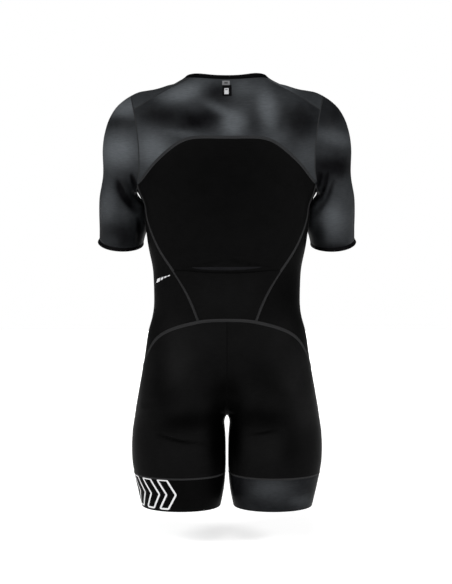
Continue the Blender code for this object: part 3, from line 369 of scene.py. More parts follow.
class SuitCloth(bpy.types.PropertyGroup):
    thick: length("Cloth", "Thickness of the knit", 0.0012)
    fine: IntProperty(
        name="Fineness", description="How often each cell of a panel is halved", default=2
    )
    # the black knit's painted highlight, and below it its painted shade: the two ends of its clouds
    black: colour("Black", "The plain knit where it is stretched", (0.0080, 0.0080, 0.0081))
    in_painted_shade: colour("Slack black", "The plain knit where it lies slack", (0.0002, 0.0002, 0.0002))
    smoke: colour("Smoke", "The palest grey of the print", (0.083, 0.090, 0.097))
    shade: colour("Shade", "The darkest grey of the print", (0.0016, 0.0016, 0.0020))
    trim: colour("Trim", "Cuffs and bindings", (0.0018, 0.0018, 0.0020))


class SuitSeams(bpy.types.PropertyGroup):
    pale: colour("Grey thread", "The flatlock seams that show", (0.0165, 0.0165, 0.017))
    dim: colour("Dim thread", "The seams inside the print", (0.019, 0.0195, 0.0205))
    black: colour("Black thread", "The seams of the black knit", (0.0012, 0.0012, 0.0013))


class SuitZip(bpy.types.PropertyGroup):
    pitch: length("Pitch", "From one tooth to the next on the same side", 0.0022)


class SuitStage(bpy.types.PropertyGroup):
    floor: length("Floor", "Height of the floor", -0.96)
    glow: number("Floor glow", "How bright the floor shines of itself", 0.5, min=0)
    air: number("Air", "How bright the studio's walls shine on the suit", 0.12, min=0)
    lens: number("Lens", "Focal length", 168.2, unit="CAMERA")
    aim: FloatVectorProperty(
        name="Aim", description="What the camera looks at", default=(0.002, 0, -0.44),
        unit="LENGTH", subtype="XYZ",
    )


# --- finishes ---
# What shows in the knit, by its size in metres: streaks in the yarn, worn patches, drift in the
# clouds and rows of loops. The ribs have a scale.
STREAKS, PATCHES, DRIFT, ROWS = 0.004, 0.05, 0.028, 0.0011
KNIT_RIBS, TAPE_RIBS = 260, 420


def finish(name):
    """A new material with its shader, and the place of each point on the piece."""
    made = bpy.data.materials.new(name)
    made.use_nodes = True
    tree = made.node_tree
    place = node(tree, "TexCoord").outputs["Object"]
    return made, tree, tree.nodes["Principled BSDF"], place


def fed(tree, socket, value):
    """Links a socket to another one, or sets it to a number or a colour."""
    if isinstance(value, bpy.types.NodeSocket):
        tree.links.new(value, socket)
    else:
        socket.default_value = value


def node(tree, kind, inputs=(), **facts):
    """A new node with its settings and inputs."""
    made = tree.nodes.new("ShaderNode" + kind)
    for key, value in facts.items():
        setattr(made, key, value)
    for key, value in dict(inputs).items():
        fed(tree, made.inputs[key], value)
    return made


def mixed(tree, factor, low, high):
    """Between two colours."""
    inputs = {0: factor, 6: (*low, 1), 7: (*high, 1)}
    return node(tree, "Mix", inputs, data_type="RGBA", clamp_factor=True).outputs[2]


def reckoned(tree, operation, *values, clamp=False):
    """The outcome of a sum, product or other reckoning."""
    inputs = dict(enumerate(values))
    return node(tree, "Math", inputs, operation=operation, use_clamp=clamp).outputs[0]


def noise(tree, place, size, stretch=(1, 1, 1), detail=2.0, rough=0.5):
    """Noise with blotches of about size metres, drawn out along the axes."""
    scaled = node(tree, "Mapping", {"Vector": place, "Scale": stretch}).outputs[0]
    inputs = {"Vector": scaled, "Scale": 1 / size, "Detail": detail, "Roughness": rough}
    return node(tree, "TexNoise", inputs).outputs["Fac"]


def ribs(tree, place, scale, uneven, detail, way):
    """Even ribs across one way of the piece."""
    inputs = {"Vector": place, "Scale": scale, "Distortion": uneven, "Detail": detail}
    return node(tree, "TexWave", inputs, bands_direction=way).outputs["Fac"]


def times(tone, share):
    """A colour made darker or paler."""
    return [min(1, v * share) for v in tone]


def shaded(tree, shader, base, rough, height=None, strength=0.3, deep=0.0001, **others):
    """Gives a shader its colour, its roughness, its relief of so many metres, and other sockets."""
    fed(tree, shader.inputs["Base Color"], base)
    fed(tree, shader.inputs["Roughness"], rough)
    if height is not None:
        relief = {"Height": height, "Strength": strength, "Distance": deep}
        fed(tree, shader.inputs["Normal"], node(tree, "Bump", relief).outputs[0])
    for socket, value in others.items():
        shader.inputs[socket.replace("_", " ")].default_value = value


def knit(name, dark, pale=None, rough=0.46, shine=0.02):
    """Stretch knit: fine ribs, streaks in the yarn, a soft sheen, and clouds between two tones,
    which on the black knit are painted light and shade.
    """
    made, tree, shader, place = finish(name)
    streaks = noise(tree, place, STREAKS, (0.35, 0.35, 2.4), detail=3.0, rough=0.6)
    patches = noise(tree, place, PATCHES, detail=3.0, rough=0.55)
    if pale:
        tone = node(tree, "Attribute", attribute_name="tone_and_painted_light").outputs["Fac"]
        drift = noise(tree, place, DRIFT, detail=4.0, rough=0.6)
        drift = reckoned(tree, "MULTIPLY", reckoned(tree, "SUBTRACT", drift, 0.5), 0.18)
        tone = reckoned(tree, "ADD", tone, drift, clamp=True)
        base = mixed(tree, reckoned(tree, "POWER", tone, 1.15), dark, pale)
    else:
        base = mixed(tree, patches, times(dark, 0.80), times(dark, 1.25))
    worn = reckoned(tree, "MULTIPLY_ADD", streaks, 0.7, 0.65)
    base = node(tree, "VectorMath", {"Vector": base, "Scale": worn}, operation="SCALE")
    wales = ribs(tree, place, KNIT_RIBS, uneven=1.2, detail=1.0, way="X")
    rows = noise(tree, place, ROWS, (1, 1, 2.2))
    loops = reckoned(tree, "MULTIPLY", wales, rows)
    loops = reckoned(tree, "MULTIPLY_ADD", streaks, 0.35, loops)
    gloss = reckoned(tree, "MULTIPLY_ADD", patches, 0.14, rough - 0.07)
    shaded(
        tree, shader, base.outputs[0], gloss, loops, strength=0.35, deep=0.0003,
        Sheen_Weight=0.002, Sheen_Roughness=0.45, Sheen_Tint=(0.55, 0.57, 0.62, 1),
        Specular_IOR_Level=shine,
    )
    return made


def flatlock(name, thread, gloss=0.06):
    """Flat seam thread: slanting stitches between straight needle lines, on the strip's own map."""
    made, tree, shader, place = finish(name)
    ways = node(tree, "SeparateXYZ", {"Vector": node(tree, "UVMap").outputs[0]})
    along, across = ways.outputs[0], ways.outputs[1]
    lean = reckoned(tree, "MULTIPLY_ADD", reckoned(tree, "ABSOLUTE", across), SLANT, along)
    turn = reckoned(tree, "MULTIPLY", lean, 2 * math.pi / STITCH)
    stitch = reckoned(tree, "MULTIPLY_ADD", reckoned(tree, "SINE", turn), 0.5, 0.5)
    needle = reckoned(tree, "MULTIPLY", across, 2 * math.pi * NEEDLES / 2)
    needle = reckoned(tree, "MULTIPLY_ADD", reckoned(tree, "COSINE", needle), 0.5, 0.5)
    height = reckoned(tree, "MAXIMUM", stitch, reckoned(tree, "MULTIPLY", needle, 0.8))
    fuzz = noise(tree, place, 0.0012)
    # painted light: the thread is paler on the tops of the stitches and darker in the grooves
    # between them and the needle lines
    lit = reckoned(tree, "MULTIPLY", height, 0.85)
    shown = reckoned(tree, "MULTIPLY_ADD", fuzz, 0.35, lit, clamp=True)
    base = mixed(tree, shown, times(thread, 0.25), times(thread, 1.35))
    shaded(
        tree, shader, base, 0.6, height, strength=0.8, deep=0.0004, Specular_IOR_Level=gloss
    )
    return made


def film(name, tone):
    """Heat-pressed print: smooth, a little uneven where the knit shows through."""
    made, tree, shader, place = finish(name)
    grain = noise(tree, place, 0.0012, (1, 1, 2))
    base = mixed(tree, grain, times(tone, 0.86), times(tone, 1.08))
    shaded(tree, shader, base, 0.5, grain)
    return made


def painted_metal(name, tone):
    """Black lacquer on die-cast metal, rubbed paler in patches."""
    made, tree, shader, place = finish(name)
    rubbed = noise(tree, place, 0.003, detail=4.0, rough=0.7)
    base = mixed(tree, reckoned(tree, "POWER", rubbed, 3.0), tone, times(tone, 6))
    rough = reckoned(tree, "MULTIPLY_ADD", rubbed, 0.25, 0.22)
    shaded(tree, shader, base, rough, rubbed, strength=0.15, Metallic=0.6)
    return made


def twill(name, tone):
    """Woven zip tape: fine slanting ribs."""
    made, tree, shader, place = finish(name)
    slants = ribs(tree, place, TAPE_RIBS, uneven=0.6, detail=2.0, way="DIAGONAL")
    base = mixed(tree, slants, times(tone, 0.6), times(tone, 1.4))
    shaded(tree, shader, base, 0.75, slants, strength=0.5, deep=0.0003)
    return made


def plastic(name, tone):
    """Moulded zip teeth."""
    made, tree, shader, place = finish(name)
    flow = noise(tree, place, 0.002, detail=3.0)
    base = mixed(tree, flow, times(tone, 0.8), times(tone, 1.3))
    shaded(tree, shader, base, reckoned(tree, "MULTIPLY_ADD", flow, 0.2, 0.28))
    return made


FINISHES = {}


def make_finishes(cloth, seams):
    """Makes every material, by the name that the tables use."""
    FINISHES.update(
        # the black and the gripper knit take painted light and shade from their clouds
        black=knit("black stretch knit", cloth.in_painted_shade, cloth.black, shine=0.014),
        print=knit("smoke print knit", cloth.shade, cloth.smoke),
        band=knit("black gripper knit", cloth.in_painted_shade, cloth.black, shine=0.014),
        grey_band=knit("smoke gripper knit", cloth.shade, cloth.smoke),
        trim=knit("binding knit", cloth.trim, rough=0.52),
        # a four times paler copy of the binding knit: painted highlight along the pocket's lip
        elastic=knit("pocket lip knit with painted highlight", times(cloth.trim, 4), rough=0.5),
        pale_seam=flatlock("grey flatlock thread", seams.pale),
        dim_seam=flatlock("dim flatlock thread", seams.dim),
        black_seam=flatlock("black flatlock thread", seams.black, gloss=0.02),
        black_film=film("black transfer film", (0.006, 0.006, 0.0065)),
        white=film("white transfer film", (0.62, 0.62, 0.63)),
        pale_film=film("pale transfer film", (0.42, 0.42, 0.43)),
        grey=film("grey transfer film", (0.12, 0.12, 0.125)),
        metal=painted_metal("black lacquered metal", (0.012, 0.012, 0.013)),
        tape=twill("black zip tape", (0.008, 0.008, 0.009)),
        teeth=plastic("black nylon teeth", (0.010, 0.010, 0.011)),
    )


# --- nets ---
def pair_up(net):
    """Joins the triangles of a net two by two into the four-sided cells it was cut in."""
    net.faces.index_update()
    left = {f: {e: g for e in f.edges for g in e.link_faces if g is not f} for f in net.faces}

    def longer(f, e, g):
        return e.calc_length() - max(x.calc_length() for x in (*f.edges, *g.edges) if x is not e)

    ranked = [
        (longer(f, e, g), -f.index, e.index, f, e, g)
        for f in left for e, g in left[f].items() if f.index < g.index
    ]
    ranked.sort(key=lambda row: row[:3], reverse=True)
    forced = [f for f in left if len(left[f]) == 1]
    shared = []

    def take(f, e, g):
        shared.append(e)
        for gone in (f, g):
            for near in left.pop(gone).values():
                if near in left:
                    left[near] = {k: v for k, v in left[near].items() if v is not gone}
                    if len(left[near]) == 1:
                        forced.append(near)

    for _, _, _, f, e, g in [(None,) * 6, *ranked]:
        if f in left and g in left:
            take(f, e, g)
        while forced:
            lone = forced.pop()
            if len(left.get(lone, ())) == 1:
                take(lone, *next(iter(left[lone].items())))
    bmesh.ops.dissolve_edges(net, edges=shared, use_verts=False, use_face_split=False)


def middle_of(part, point):
    """A point inside the suit, level with a point on it."""
    side = math.copysign(1, point.x)
    if "sleeve" in part or "cuff" in part:
        return Vector((ARM_ACROSS * side, ARM_HIGH if point.z > ARM_TURNS else ARM_LOW, point.z))
    if point.z < CROTCH:
        return Vector((LEG_ACROSS * side, 0, point.z))
    return Vector((0, 0, point.z))


def outer_skin(part, wall):
    """The outer side of a cloth solid, as a net of four-sided cells."""
    net = bmesh.new()
    net.from_mesh(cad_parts[part].data)
    bmesh.ops.remove_doubles(net, verts=net.verts, dist=SAME)
    rim = [f for f in net.faces if min(e.calc_length() for e in f.edges) < wall]
    bmesh.ops.delete(net, geom=rim, context="FACES")
    best, found = -math.inf, None
    waiting = set(net.faces)
    while waiting:
        stack, side = [waiting.pop()], []
        while stack:
            f = stack.pop()
            side.append(f)
            near = {g for e in f.edges for g in e.link_faces} & waiting
            waiting -= near
            stack.extend(near)
        facing = 0
        for f in side:
            centre = f.calc_center_median()
            facing += (centre - middle_of(part, centre)).normalized().dot(f.normal) * f.calc_area()
        if facing > best:
            best, found = facing, set(side)
    bmesh.ops.delete(net, geom=[f for f in net.faces if f not in found], context="FACES")
    pair_up(net)
    return net


def mesh_of(name, net):
    """Turns a net into a mesh."""
    mesh = bpy.data.meshes.new(name)
    net.to_mesh(mesh)
    net.free()
    return mesh


def object_of(name, data):
    """A new object in the scene."""
    made = bpy.data.objects.new(name, data)
    bpy.context.scene.collection.objects.link(made)
    return made


def only(chosen):
    """Makes one object the only one selected, and active."""
    bpy.ops.object.select_all(action="DESELECT")
    chosen.select_set(True)
    bpy.context.view_layer.objects.active = chosen


def with_modifier(chosen, kind, **facts):
    """Applies a modifier to an object."""
    only(chosen)
    made = chosen.modifiers.new(kind.lower(), kind)
    for key, value in facts.items():
        setattr(made, key, value)
    bpy.ops.object.modifier_apply(modifier=made.name)


def halved(chosen, count):
    """Halves each cell so many times, and smooths the net."""
    with_modifier(
        chosen, "SUBSURF", levels=count, render_levels=count, boundary_smooth="PRESERVE_CORNERS"
    )


def walled(chosen, thick, edge):
    """Gives a sheet its thickness inwards, with its edges a little rounded."""
    with_modifier(
        chosen, "SOLIDIFY", thickness=thick, offset=-1, use_rim=True, use_even_offset=False
    )
    with_modifier(
        chosen, "BEVEL", width=edge, segments=2, limit_method="ANGLE", angle_limit=SHARP
    )
    only(chosen)
    bpy.ops.object.shade_smooth_by_angle(angle=BENT)


def rows_of(held, name):
    """One vector of each point, such as its place, as rows of numbers."""
    found = np.zeros(len(held) * 3)
    held.foreach_get(name, found)
    return found.reshape(-1, 3)


def points_of(mesh):
    """The place of each point."""
    return rows_of(mesh.vertices, "co")


def normals_of(mesh):
    """Which way the surface faces at each point."""
    return rows_of(mesh.vertex_normals, "vector")


def note(mesh, name, values):
    """Keeps one number for each point under a name."""
    mesh.attributes.new(name, "FLOAT", "POINT").data.foreach_set("value", values)


def seen(points, normals, view):
    """Where points appear from a view, in mm, and how squarely each faces it, from 0 to 1."""
    x, y, z = (points / MM).T
    if view == "back":
        away = y / (EYE_BEHIND[1] - y)
        place = np.stack([x + (x - EYE_BEHIND[0]) * away, z + (z - EYE_BEHIND[2]) * away], axis=1)
        facing = normals[:, 1]
    else:
        place = np.stack([x, z], axis=1)
        facing = -normals[:, 1]
    share = np.clip((facing - FACES_FROM) / FACES_OVER, 0, 1)
    return place, share * share * (3 - 2 * share)


def smoothed(marks, count=40):
    """A smooth line through marks."""
    marks = np.array(marks, float)
    ends = np.vstack([2 * marks[0] - marks[1], marks, 2 * marks[-1] - marks[-2]])
    line = []
    for a, b, c, d in zip(ends, ends[1:], ends[2:], ends[3:]):
        t = np.linspace(0, 1, count // (len(marks) - 1), endpoint=False)[:, None]
        square, cube = 2 * a - 5 * b + 4 * c - d, 3 * b - a - 3 * c + d
        line.append(0.5 * (2 * b + (c - a) * t + square * t**2 + cube * t**3))
    return np.vstack([*line, marks[-1:]])


def creased(points, normals):
    """How far the folds move each point out of the cloth, in mm."""
    moved = np.zeros(len(points))
    for view, folds in FOLDS.items():
        place, facing = seen(points, normals, view)
        for fold in folds:
            line = smoothed(fold.points)
            reach = FOLD_REACH * fold.wide
            inside = (place > line.min(0) - reach) & (place < line.max(0) + reach)
            near = np.where(inside.all(1) & (facing > 0))[0]
            away = np.linalg.norm(place[near, None] - line[None], axis=2)
            nearest = away.argmin(1)
            fade = np.sin(np.pi * (nearest / (len(line) - 1))) ** FADE
            q = away[np.arange(len(near)), nearest] / fold.wide
            moved[near] -= fold.depth * fade * facing[near] * (1 - BESIDE * q**2) * np.exp(-(q**2))
    return moved


def eased(points):
    """Points moved where the cloth gives."""
    moved = np.zeros_like(points)
    for swell in SWELLS:
        q = (points / MM - swell.centre) / swell.sizes
        moved += np.exp(-(q**2).sum(1))[:, None] * swell.move
    return points + moved * MM


def smoke(part, points, normals):
    """The tone of the clouds at each point of a panel: print on the printed knit, painted light and
    shade on the black knit.
    """
    tones, shares = [], []
    for view in ("back", "front"):
        place, facing = seen(points, normals, view)
        tone = np.full(len(points), BARE_TONE)
        for at, height, half_wide, half_tall, turn, shade in CLOUDS_AND_PAINTED_LIGHT.get((part, view), ()):
            cosine, sine = math.cos(math.radians(turn)), math.sin(math.radians(turn))
            across, up = (place - (at, height)).T
            u = (across * cosine + up * sine) / half_wide
            v = (up * cosine - across * sine) / half_tall
            share = np.exp(-CLOUD_FALL * (u * u + v * v) ** CLOUD_POWER)
            tone += share * (shade - tone)
        tones.append(tone)
        shares.append(facing + 1e-3)  # never 0, so that their sum can divide
    tones, shares = np.array(tones), np.array(shares)
    return (tones * shares).sum(0) / shares.sum(0)


def clouded_and_shaded(mesh, part):
    """Gives a net the tones of a panel, with painted shade in the creases."""
    tone = smoke(part, points_of(mesh), normals_of(mesh))
    if "crease" in mesh.attributes:
        moved = np.zeros(len(tone))
        mesh.attributes["crease"].data.foreach_get("value", moved)
        # painted shade: the tone falls in the troughs of the creases
        tone += np.minimum(moved, 0) * CREASE_SHADE
    note(mesh, "tone_and_painted_light", np.clip(tone, 0, 1))


def ramp(value, start, length):
    """Rises from 0 at the start to 1 after its length."""
    return min(max((value - start) / length, 0), 1)


def raised(mesh, body):
    """Lets the free edge of the neck binding stand up at the sides and back of the neck."""
    ground = ground_of(body)
    rise, left, right = BINDING_RISE
    start, rising, end, falling = NECK_SIDE
    for v in mesh.vertices:
        away = ground.find_nearest(v.co)[3]
        aside = abs(v.co.x)
        at_side = ramp(aside, start, rising) * ramp(-aside, -end, falling)
        behind = ramp(v.co.y, *NECK_BACK)
        v.co.z += away * behind * (rise + (left if v.co.x > 0 else right) * at_side)


class Shell:
    """Several panels as one smooth, creased skin, welded at their seams."""

    def __init__(self, name, cuts, fine):
        whole = bmesh.new()
        panel = whole.faces.layers.int.new("panel")
        for k, cut in enumerate(cuts):
            net = outer_skin(cut.node, PANEL_WALL)
            for e in net.edges:
                e.seam = e.is_boundary
            part = mesh_of(cut.node, net)
            before = len(whole.faces)
            whole.from_mesh(part)
            whole.faces.ensure_lookup_table()
            for f in whole.faces[before:]:
                f[panel] = k
            bpy.data.meshes.remove(part)
        bmesh.ops.remove_doubles(whole, verts=whole.verts, dist=SEWN)
        self.cuts = cuts
        self.body = object_of(name, mesh_of(name, whole))
        halved(self.body, fine)
        mesh = self.body.data
        points, normals = points_of(mesh), normals_of(mesh)
        moved = creased(points, normals)
        note(mesh, "crease", moved)
        points = eased(points + normals * (moved * MM)[:, None])
        mesh.vertices.foreach_set("co", points.ravel())
        mesh.update()

    def piece(self, k, thick):
        """One panel as an object of its own."""
        cut = self.cuts[k]
        net = bmesh.new()
        net.from_mesh(self.body.data)
        net.faces.ensure_lookup_table()
        panel = net.faces.layers.int["panel"]
        bmesh.ops.delete(net, geom=[f for f in net.faces if f[panel] != k], context="FACES")
        mesh = mesh_of(cut.node + "_cloth", net)
        clouded_and_shaded(mesh, cut.node)
        made = object_of(cut.node + "_cloth", mesh)
        walled(made, thick, PANEL_EDGE)
        return made

    def seams(self):
        """The edges of each seam by the names of its two panels; edge stands for an open edge."""
        net = bmesh.new()
        net.from_mesh(self.body.data)
        net.verts.ensure_lookup_table()
        panel = net.faces.layers.int["panel"]
        kinds = {}
        for e in net.edges:
            sides = sorted(self.cuts[f[panel]].node for f in e.link_faces)
            if len(sides) == 1:
                sides = ["edge", *sides]
            if sides[0] != sides[1] or e.seam:
                kinds.setdefault(" ".join(sides), []).append([v.index for v in e.verts])
        net.free()
        return kinds


def chained(edges):
    """Edges put in order, as lines of point numbers."""
    near = {}
    for a, b in edges:
        near.setdefault(a, []).append(b)
        near.setdefault(b, []).append(a)
    lines = []
    ends = [v for v in near if len(near[v]) != 2] + list(near)
    for start in ends:
        while near[start]:
            line = [start]
            while near[line[-1]]:
                step = near[line[-1]].pop()
                near[step].remove(line[-1])
                line.append(step)
                if len(near[step]) != 1:
                    break
            lines.append(line)
    return lines


def run_of(line):
    """How far along a line each of its points is."""
    return np.concatenate([[0], np.cumsum(np.linalg.norm(np.diff(line, axis=0), axis=1))])


def spaced(line, step):
    """The line again with points an even step apart."""
    run = run_of(line)
    at = np.linspace(0, run[-1], max(2, round(run[-1] / step) + 1))
    return np.stack([np.interp(at, run, line[:, axis]) for axis in range(3)], axis=1)


def built(name, points, faces):
    """An object made of points and faces, shaded smooth."""
    mesh = bpy.data.meshes.new(name)
    mesh.from_pydata([tuple(p) for p in points], [], faces)
    mesh.polygons.foreach_set("use_smooth", [True] * len(mesh.polygons))
    return object_of(name, mesh)


def cells(first, rows, columns):
    """The four-sided faces of a net of points, counted from its first one along each row."""
    found = []
    for row in range(rows - 1):
        for col in range(columns - 1):
            a = first + row * columns + col
            found.append((a, a + columns, a + columns + 1, a + 1))
    return found


def strip(
    name, lines, ground, half_wide, rise,
    step=0.0025, profile=STRIP, sunk=0.0001, off=0.0, taper=False,
):
    """Strips along lines on the cloth, mapped in metres along and from -1 to 1 across.

    All sizes are in metres. off shifts a strip aside, towards UP_THE_BACK.
    """
    points, faces, places = [], [], []
    for line in lines:
        closed = np.linalg.norm(line[0] - line[-1]) < SAME
        line = spaced(line, step)
        way = np.gradient(line, axis=0)
        if closed:
            way[0] = way[-1] = line[1] - line[-2]
        run = run_of(line)
        faces += cells(len(points), len(line), len(profile))
        lean = 0.0
        if off:
            mid = len(line) // 2
            middle = Vector(line[mid])
            aside = Vector(way[mid]).cross(ground.find_nearest(middle)[1])
            lean = math.copysign(off, aside.dot(Vector(UP_THE_BACK) - middle))
        for at, ahead, far in zip(line, way, run):
            at = Vector(at)
            side = Vector(ahead).cross(ground.find_nearest(at)[1]).normalized()
            share = max(math.sin(math.pi * far / run[-1]), TAPER_END) ** FADE if taper else 1
            for across, high in profile:
                spot, out, *_ = ground.find_nearest(at + side * (across * half_wide * share + lean))
                points.append(spot + out * (high * rise * share - sunk))
                places.append((far, across))
    made = built(name, points, faces)
    mesh = made.data
    marks = mesh.uv_layers.new(name="UVMap")
    for loop in mesh.loops:
        marks.data[loop.index].uv = places[loop.vertex_index]
    face = mesh.polygons[0]
    if ground.find_nearest(face.center)[1].dot(face.normal) < 0:
        mesh.flip_normals()
    return made


def over_pocket(mesh, ground, half_wide):
    """Lifts the strip of the hip seam over the foot of the pocket, which is sewn into it."""
    x, y, z = points_of(mesh).reshape(-1, len(STRIP), 3).transpose(2, 0, 1)
    above = (z - z[:, [len(STRIP) // 2]]) / half_wide
    foot, flat, lift = POCKET_FOOT
    share = np.clip((flat - abs(x) / MM) / (flat - foot), 0, 1) * np.clip(1 + above, 0, 1) * (y > 0)
    for v, part in zip(mesh.vertices, share.ravel()):
        v.co += ground.find_nearest(v.co)[1] * float(part) * lift * MM


def rounded(corners, radius, count=4):
    """A closed outline with its corners rounded off."""
    corners = np.array(corners, float)
    line = []
    for before, at, after in zip(np.roll(corners, 1, 0), corners, np.roll(corners, -1, 0)):
        start = at + (before - at) / np.linalg.norm(before - at) * radius
        end = at + (after - at) / np.linalg.norm(after - at) * radius
        for t in np.linspace(0, 1, count + 1):
            line.append((1 - t) ** 2 * start + 2 * t * (1 - t) * at + t * t * end)
    return np.array([*line, line[0]])


def from_behind(ground, across, height):
    """Where a mark seen from behind falls on the cloth, and which way the cloth faces there."""
    eye = Vector(EYE_BEHIND) * MM
    way = Vector((across * MM, 0, height * MM)) - eye
    return ground.ray_cast(eye, way.normalized())[:2]


def pressed(name, shapes, ground, lift, finish_name, count=6):
    """Four-cornered pieces of film pressed on to the back of the suit."""
    points, faces = [], []
    for corners in shapes:
        a, b, c, d = (np.array(corner, float) for corner in corners)
        faces += cells(len(points), count + 1, count + 1)
        for v in np.linspace(0, 1, count + 1):
            for u in np.linspace(0, 1, count + 1):
                across, height = (1 - v) * ((1 - u) * a + u * b) + v * ((1 - u) * d + u * c)
                spot, out = from_behind(ground, across, height)
                points.append(spot + out * lift * MM)
    made = built(name, points, faces)
    if made.data.polygons[0].normal.y < 0:
        made.data.flip_normals()
    return dress(made, finish_name, "black_knit")


def coat(made, finish_name):
    """Gives a piece its finish."""
    made.data.materials.clear()
    made.data.materials.append(FINISHES[finish_name])


def dress(made, finish_name, slot, *nodes):
    """Gives a piece its finish and its body, and hides the solids that it stands for. The slot is
    not used.
    """
    coat(made, finish_name)
    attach(made, "suit")
    if nodes:
        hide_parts(*nodes)
    return made


def aim_at(turned, spot):
    """Turns a light or the camera towards a place."""
    way = Vector(spot) - turned.location
    turned.rotation_euler = way.to_track_quat("-Z", "Y").to_euler()


SHELLS = {}


def ground_of(*bodies):
    """A surface to lay things on, made of several objects."""
    points, faces = [], []
    for body in bodies:
        first = len(points)
        points += [v.co.copy() for v in body.data.vertices]
        faces += [[first + i for i in p.vertices] for p in body.data.polygons]
    return BVHTree.FromPolygons(points, faces)


# --- operators ---
class SUIT_OT_panels(bpy.types.Operator):
    """Make the cloth panels of the suit"""

    bl_idname = "suit.panels"
    bl_label = "Panels"

    def execute(self, context):
        cloth = context.scene.suit_cloth
        make_finishes(cloth, context.scene.suit_seams)
        for name, cuts in (("upper", UPPER), ("lower", LOWER)):
            shell = Shell("suit_form_" + name, cuts, cloth.fine)
            SHELLS[name] = shell
            for k, cut in enumerate(cuts):
                made = shell.piece(k, cloth.thick)
                dress(made, cut.finish, cut.slot, cut.node)
        return {"FINISHED"}


class SUIT_OT_trims(bpy.types.Operator):
    """Make the pocket, the neck binding, the sleeve cuffs and the patch at the neck"""

    bl_idname = "suit.trims"
    bl_label = "Pocket, binding, cuffs and patch"

    def execute(self, context):
        for trim in TRIMS:
            net = outer_skin(trim.node, trim.wall)
            bmesh.ops.remove_doubles(net, verts=net.verts, dist=SEWN)
            mesh = mesh_of(trim.node + "_cloth", net)
            made = object_of(trim.node + "_cloth", mesh)
            mesh.vertices.foreach_set("co", eased(points_of(mesh)).ravel())
            if trim.node == "neck_binding":
                raised(mesh, SHELLS["upper"].body)
            # the pocket takes the centre back's painted light and shade, so that they run on across
            # it
            if trim.node == "back_pocket":
                clouded_and_shaded(mesh, "centre_back")
            halved(made, context.scene.suit_cloth.fine)
            walled(made, trim.thick, trim.edge)
            dress(made, trim.finish, trim.slot, trim.node)
        return {"FINISHED"}


class SUIT_OT_seams(bpy.types.Operator):
    """Lay the flatlock seams over the joins between the panels"""

    bl_idname = "suit.seams"
    bl_label = "Flatlock seams"

    def execute(self, context):
        bodies = {name: shell.body for name, shell in SHELLS.items()}
        ground = ground_of(*bodies.values(), bpy.data.objects["neck_binding_cloth"])
        edges = {name: shell.seams() for name, shell in SHELLS.items()}
        for seam in SEAMS:
            name = "upper" if seam.pairs[0] in edges["upper"] else "lower"
            points = points_of(bodies[name].data)
            joined = [edge for pair in seam.pairs for edge in edges[name][pair]]
            joined = [edge for edge in joined if points[edge, 2].min() > seam.lowest * MM]
            lines = [points[line] for line in chained(joined)]
            half_wide = seam.half_wide * MM
            made = strip(seam.name, lines, ground, half_wide, seam.rise * MM, off=seam.off * MM)
            if seam.name == "hip_seam":
                over_pocket(made.data, ground, half_wide)
            dress(made, seam.thread + "_seam", "black_knit")
        return {"FINISHED"}


class SUIT_OT_zip(bpy.types.Operator):
    """Set the teeth of the zip along its chain, and finish its tape, slider and pull"""

    bl_idname = "suit.zip"
    bl_label = "Zip"

    def execute(self, context):
        pitch = context.scene.suit_zip.pitch
        chain = ground_of(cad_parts["zip_chain"])
        low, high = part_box("zip_chain")
        bpy.ops.mesh.primitive_cube_add(size=1)
        tooth = context.active_object
        bpy.ops.object.mode_set(mode="EDIT")
        bpy.ops.mesh.select_all(action="SELECT")
        bpy.ops.transform.resize(value=TOOTH)
        bpy.ops.mesh.bevel(offset=TOOTH_ROUNDING, segments=2, affect="EDGES")
        bpy.ops.object.mode_set(mode="OBJECT")
        shape = points_of(tooth.data)
        sides = [tuple(p.vertices) for p in tooth.data.polygons]
        bpy.data.objects.remove(tooth)
        # the right teeth stand half a pitch above the left ones
        for hand, side, start in (("left", 1, 0.0), ("right", -1, 0.5)):
            points, faces = [], []
            across = Vector((side, 0, 0))
            height = low.z + CHAIN_ENDS[0] + start * pitch
            while height < high.z - CHAIN_ENDS[1]:
                before_zip = Vector((0, AHEAD, height))
                spot, out, *_ = chain.ray_cast(before_zip, Vector((0, 1, 0)))
                up = Vector((1, 0, 0)).cross(out).normalized()
                up = up if up.z > 0 else -up
                first = len(points)
                centre = spot - out * TOOTH_SUNK + across * TOOTH_ASIDE
                for x, y, z in shape:
                    narrow = y * (1 - TOOTH_NARROWS * x)
                    points.append(centre + across * x + up * narrow + out * z)
                faces += [tuple(first + i for i in face) for face in sides]
                height += pitch
            made = built("zip_teeth_" + hand, points, faces)
            if side < 0:
                made.data.flip_normals()
            only(made)
            bpy.ops.object.shade_smooth_by_angle(angle=TOOTH_BENT)
            dress(made, "teeth", "zip_teeth", "zip_chain")
        for part in ("zip_tape", "zip_slider", "zip_pull"):
            coat(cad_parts[part], "tape" if part == "zip_tape" else "metal")
        return {"FINISHED"}


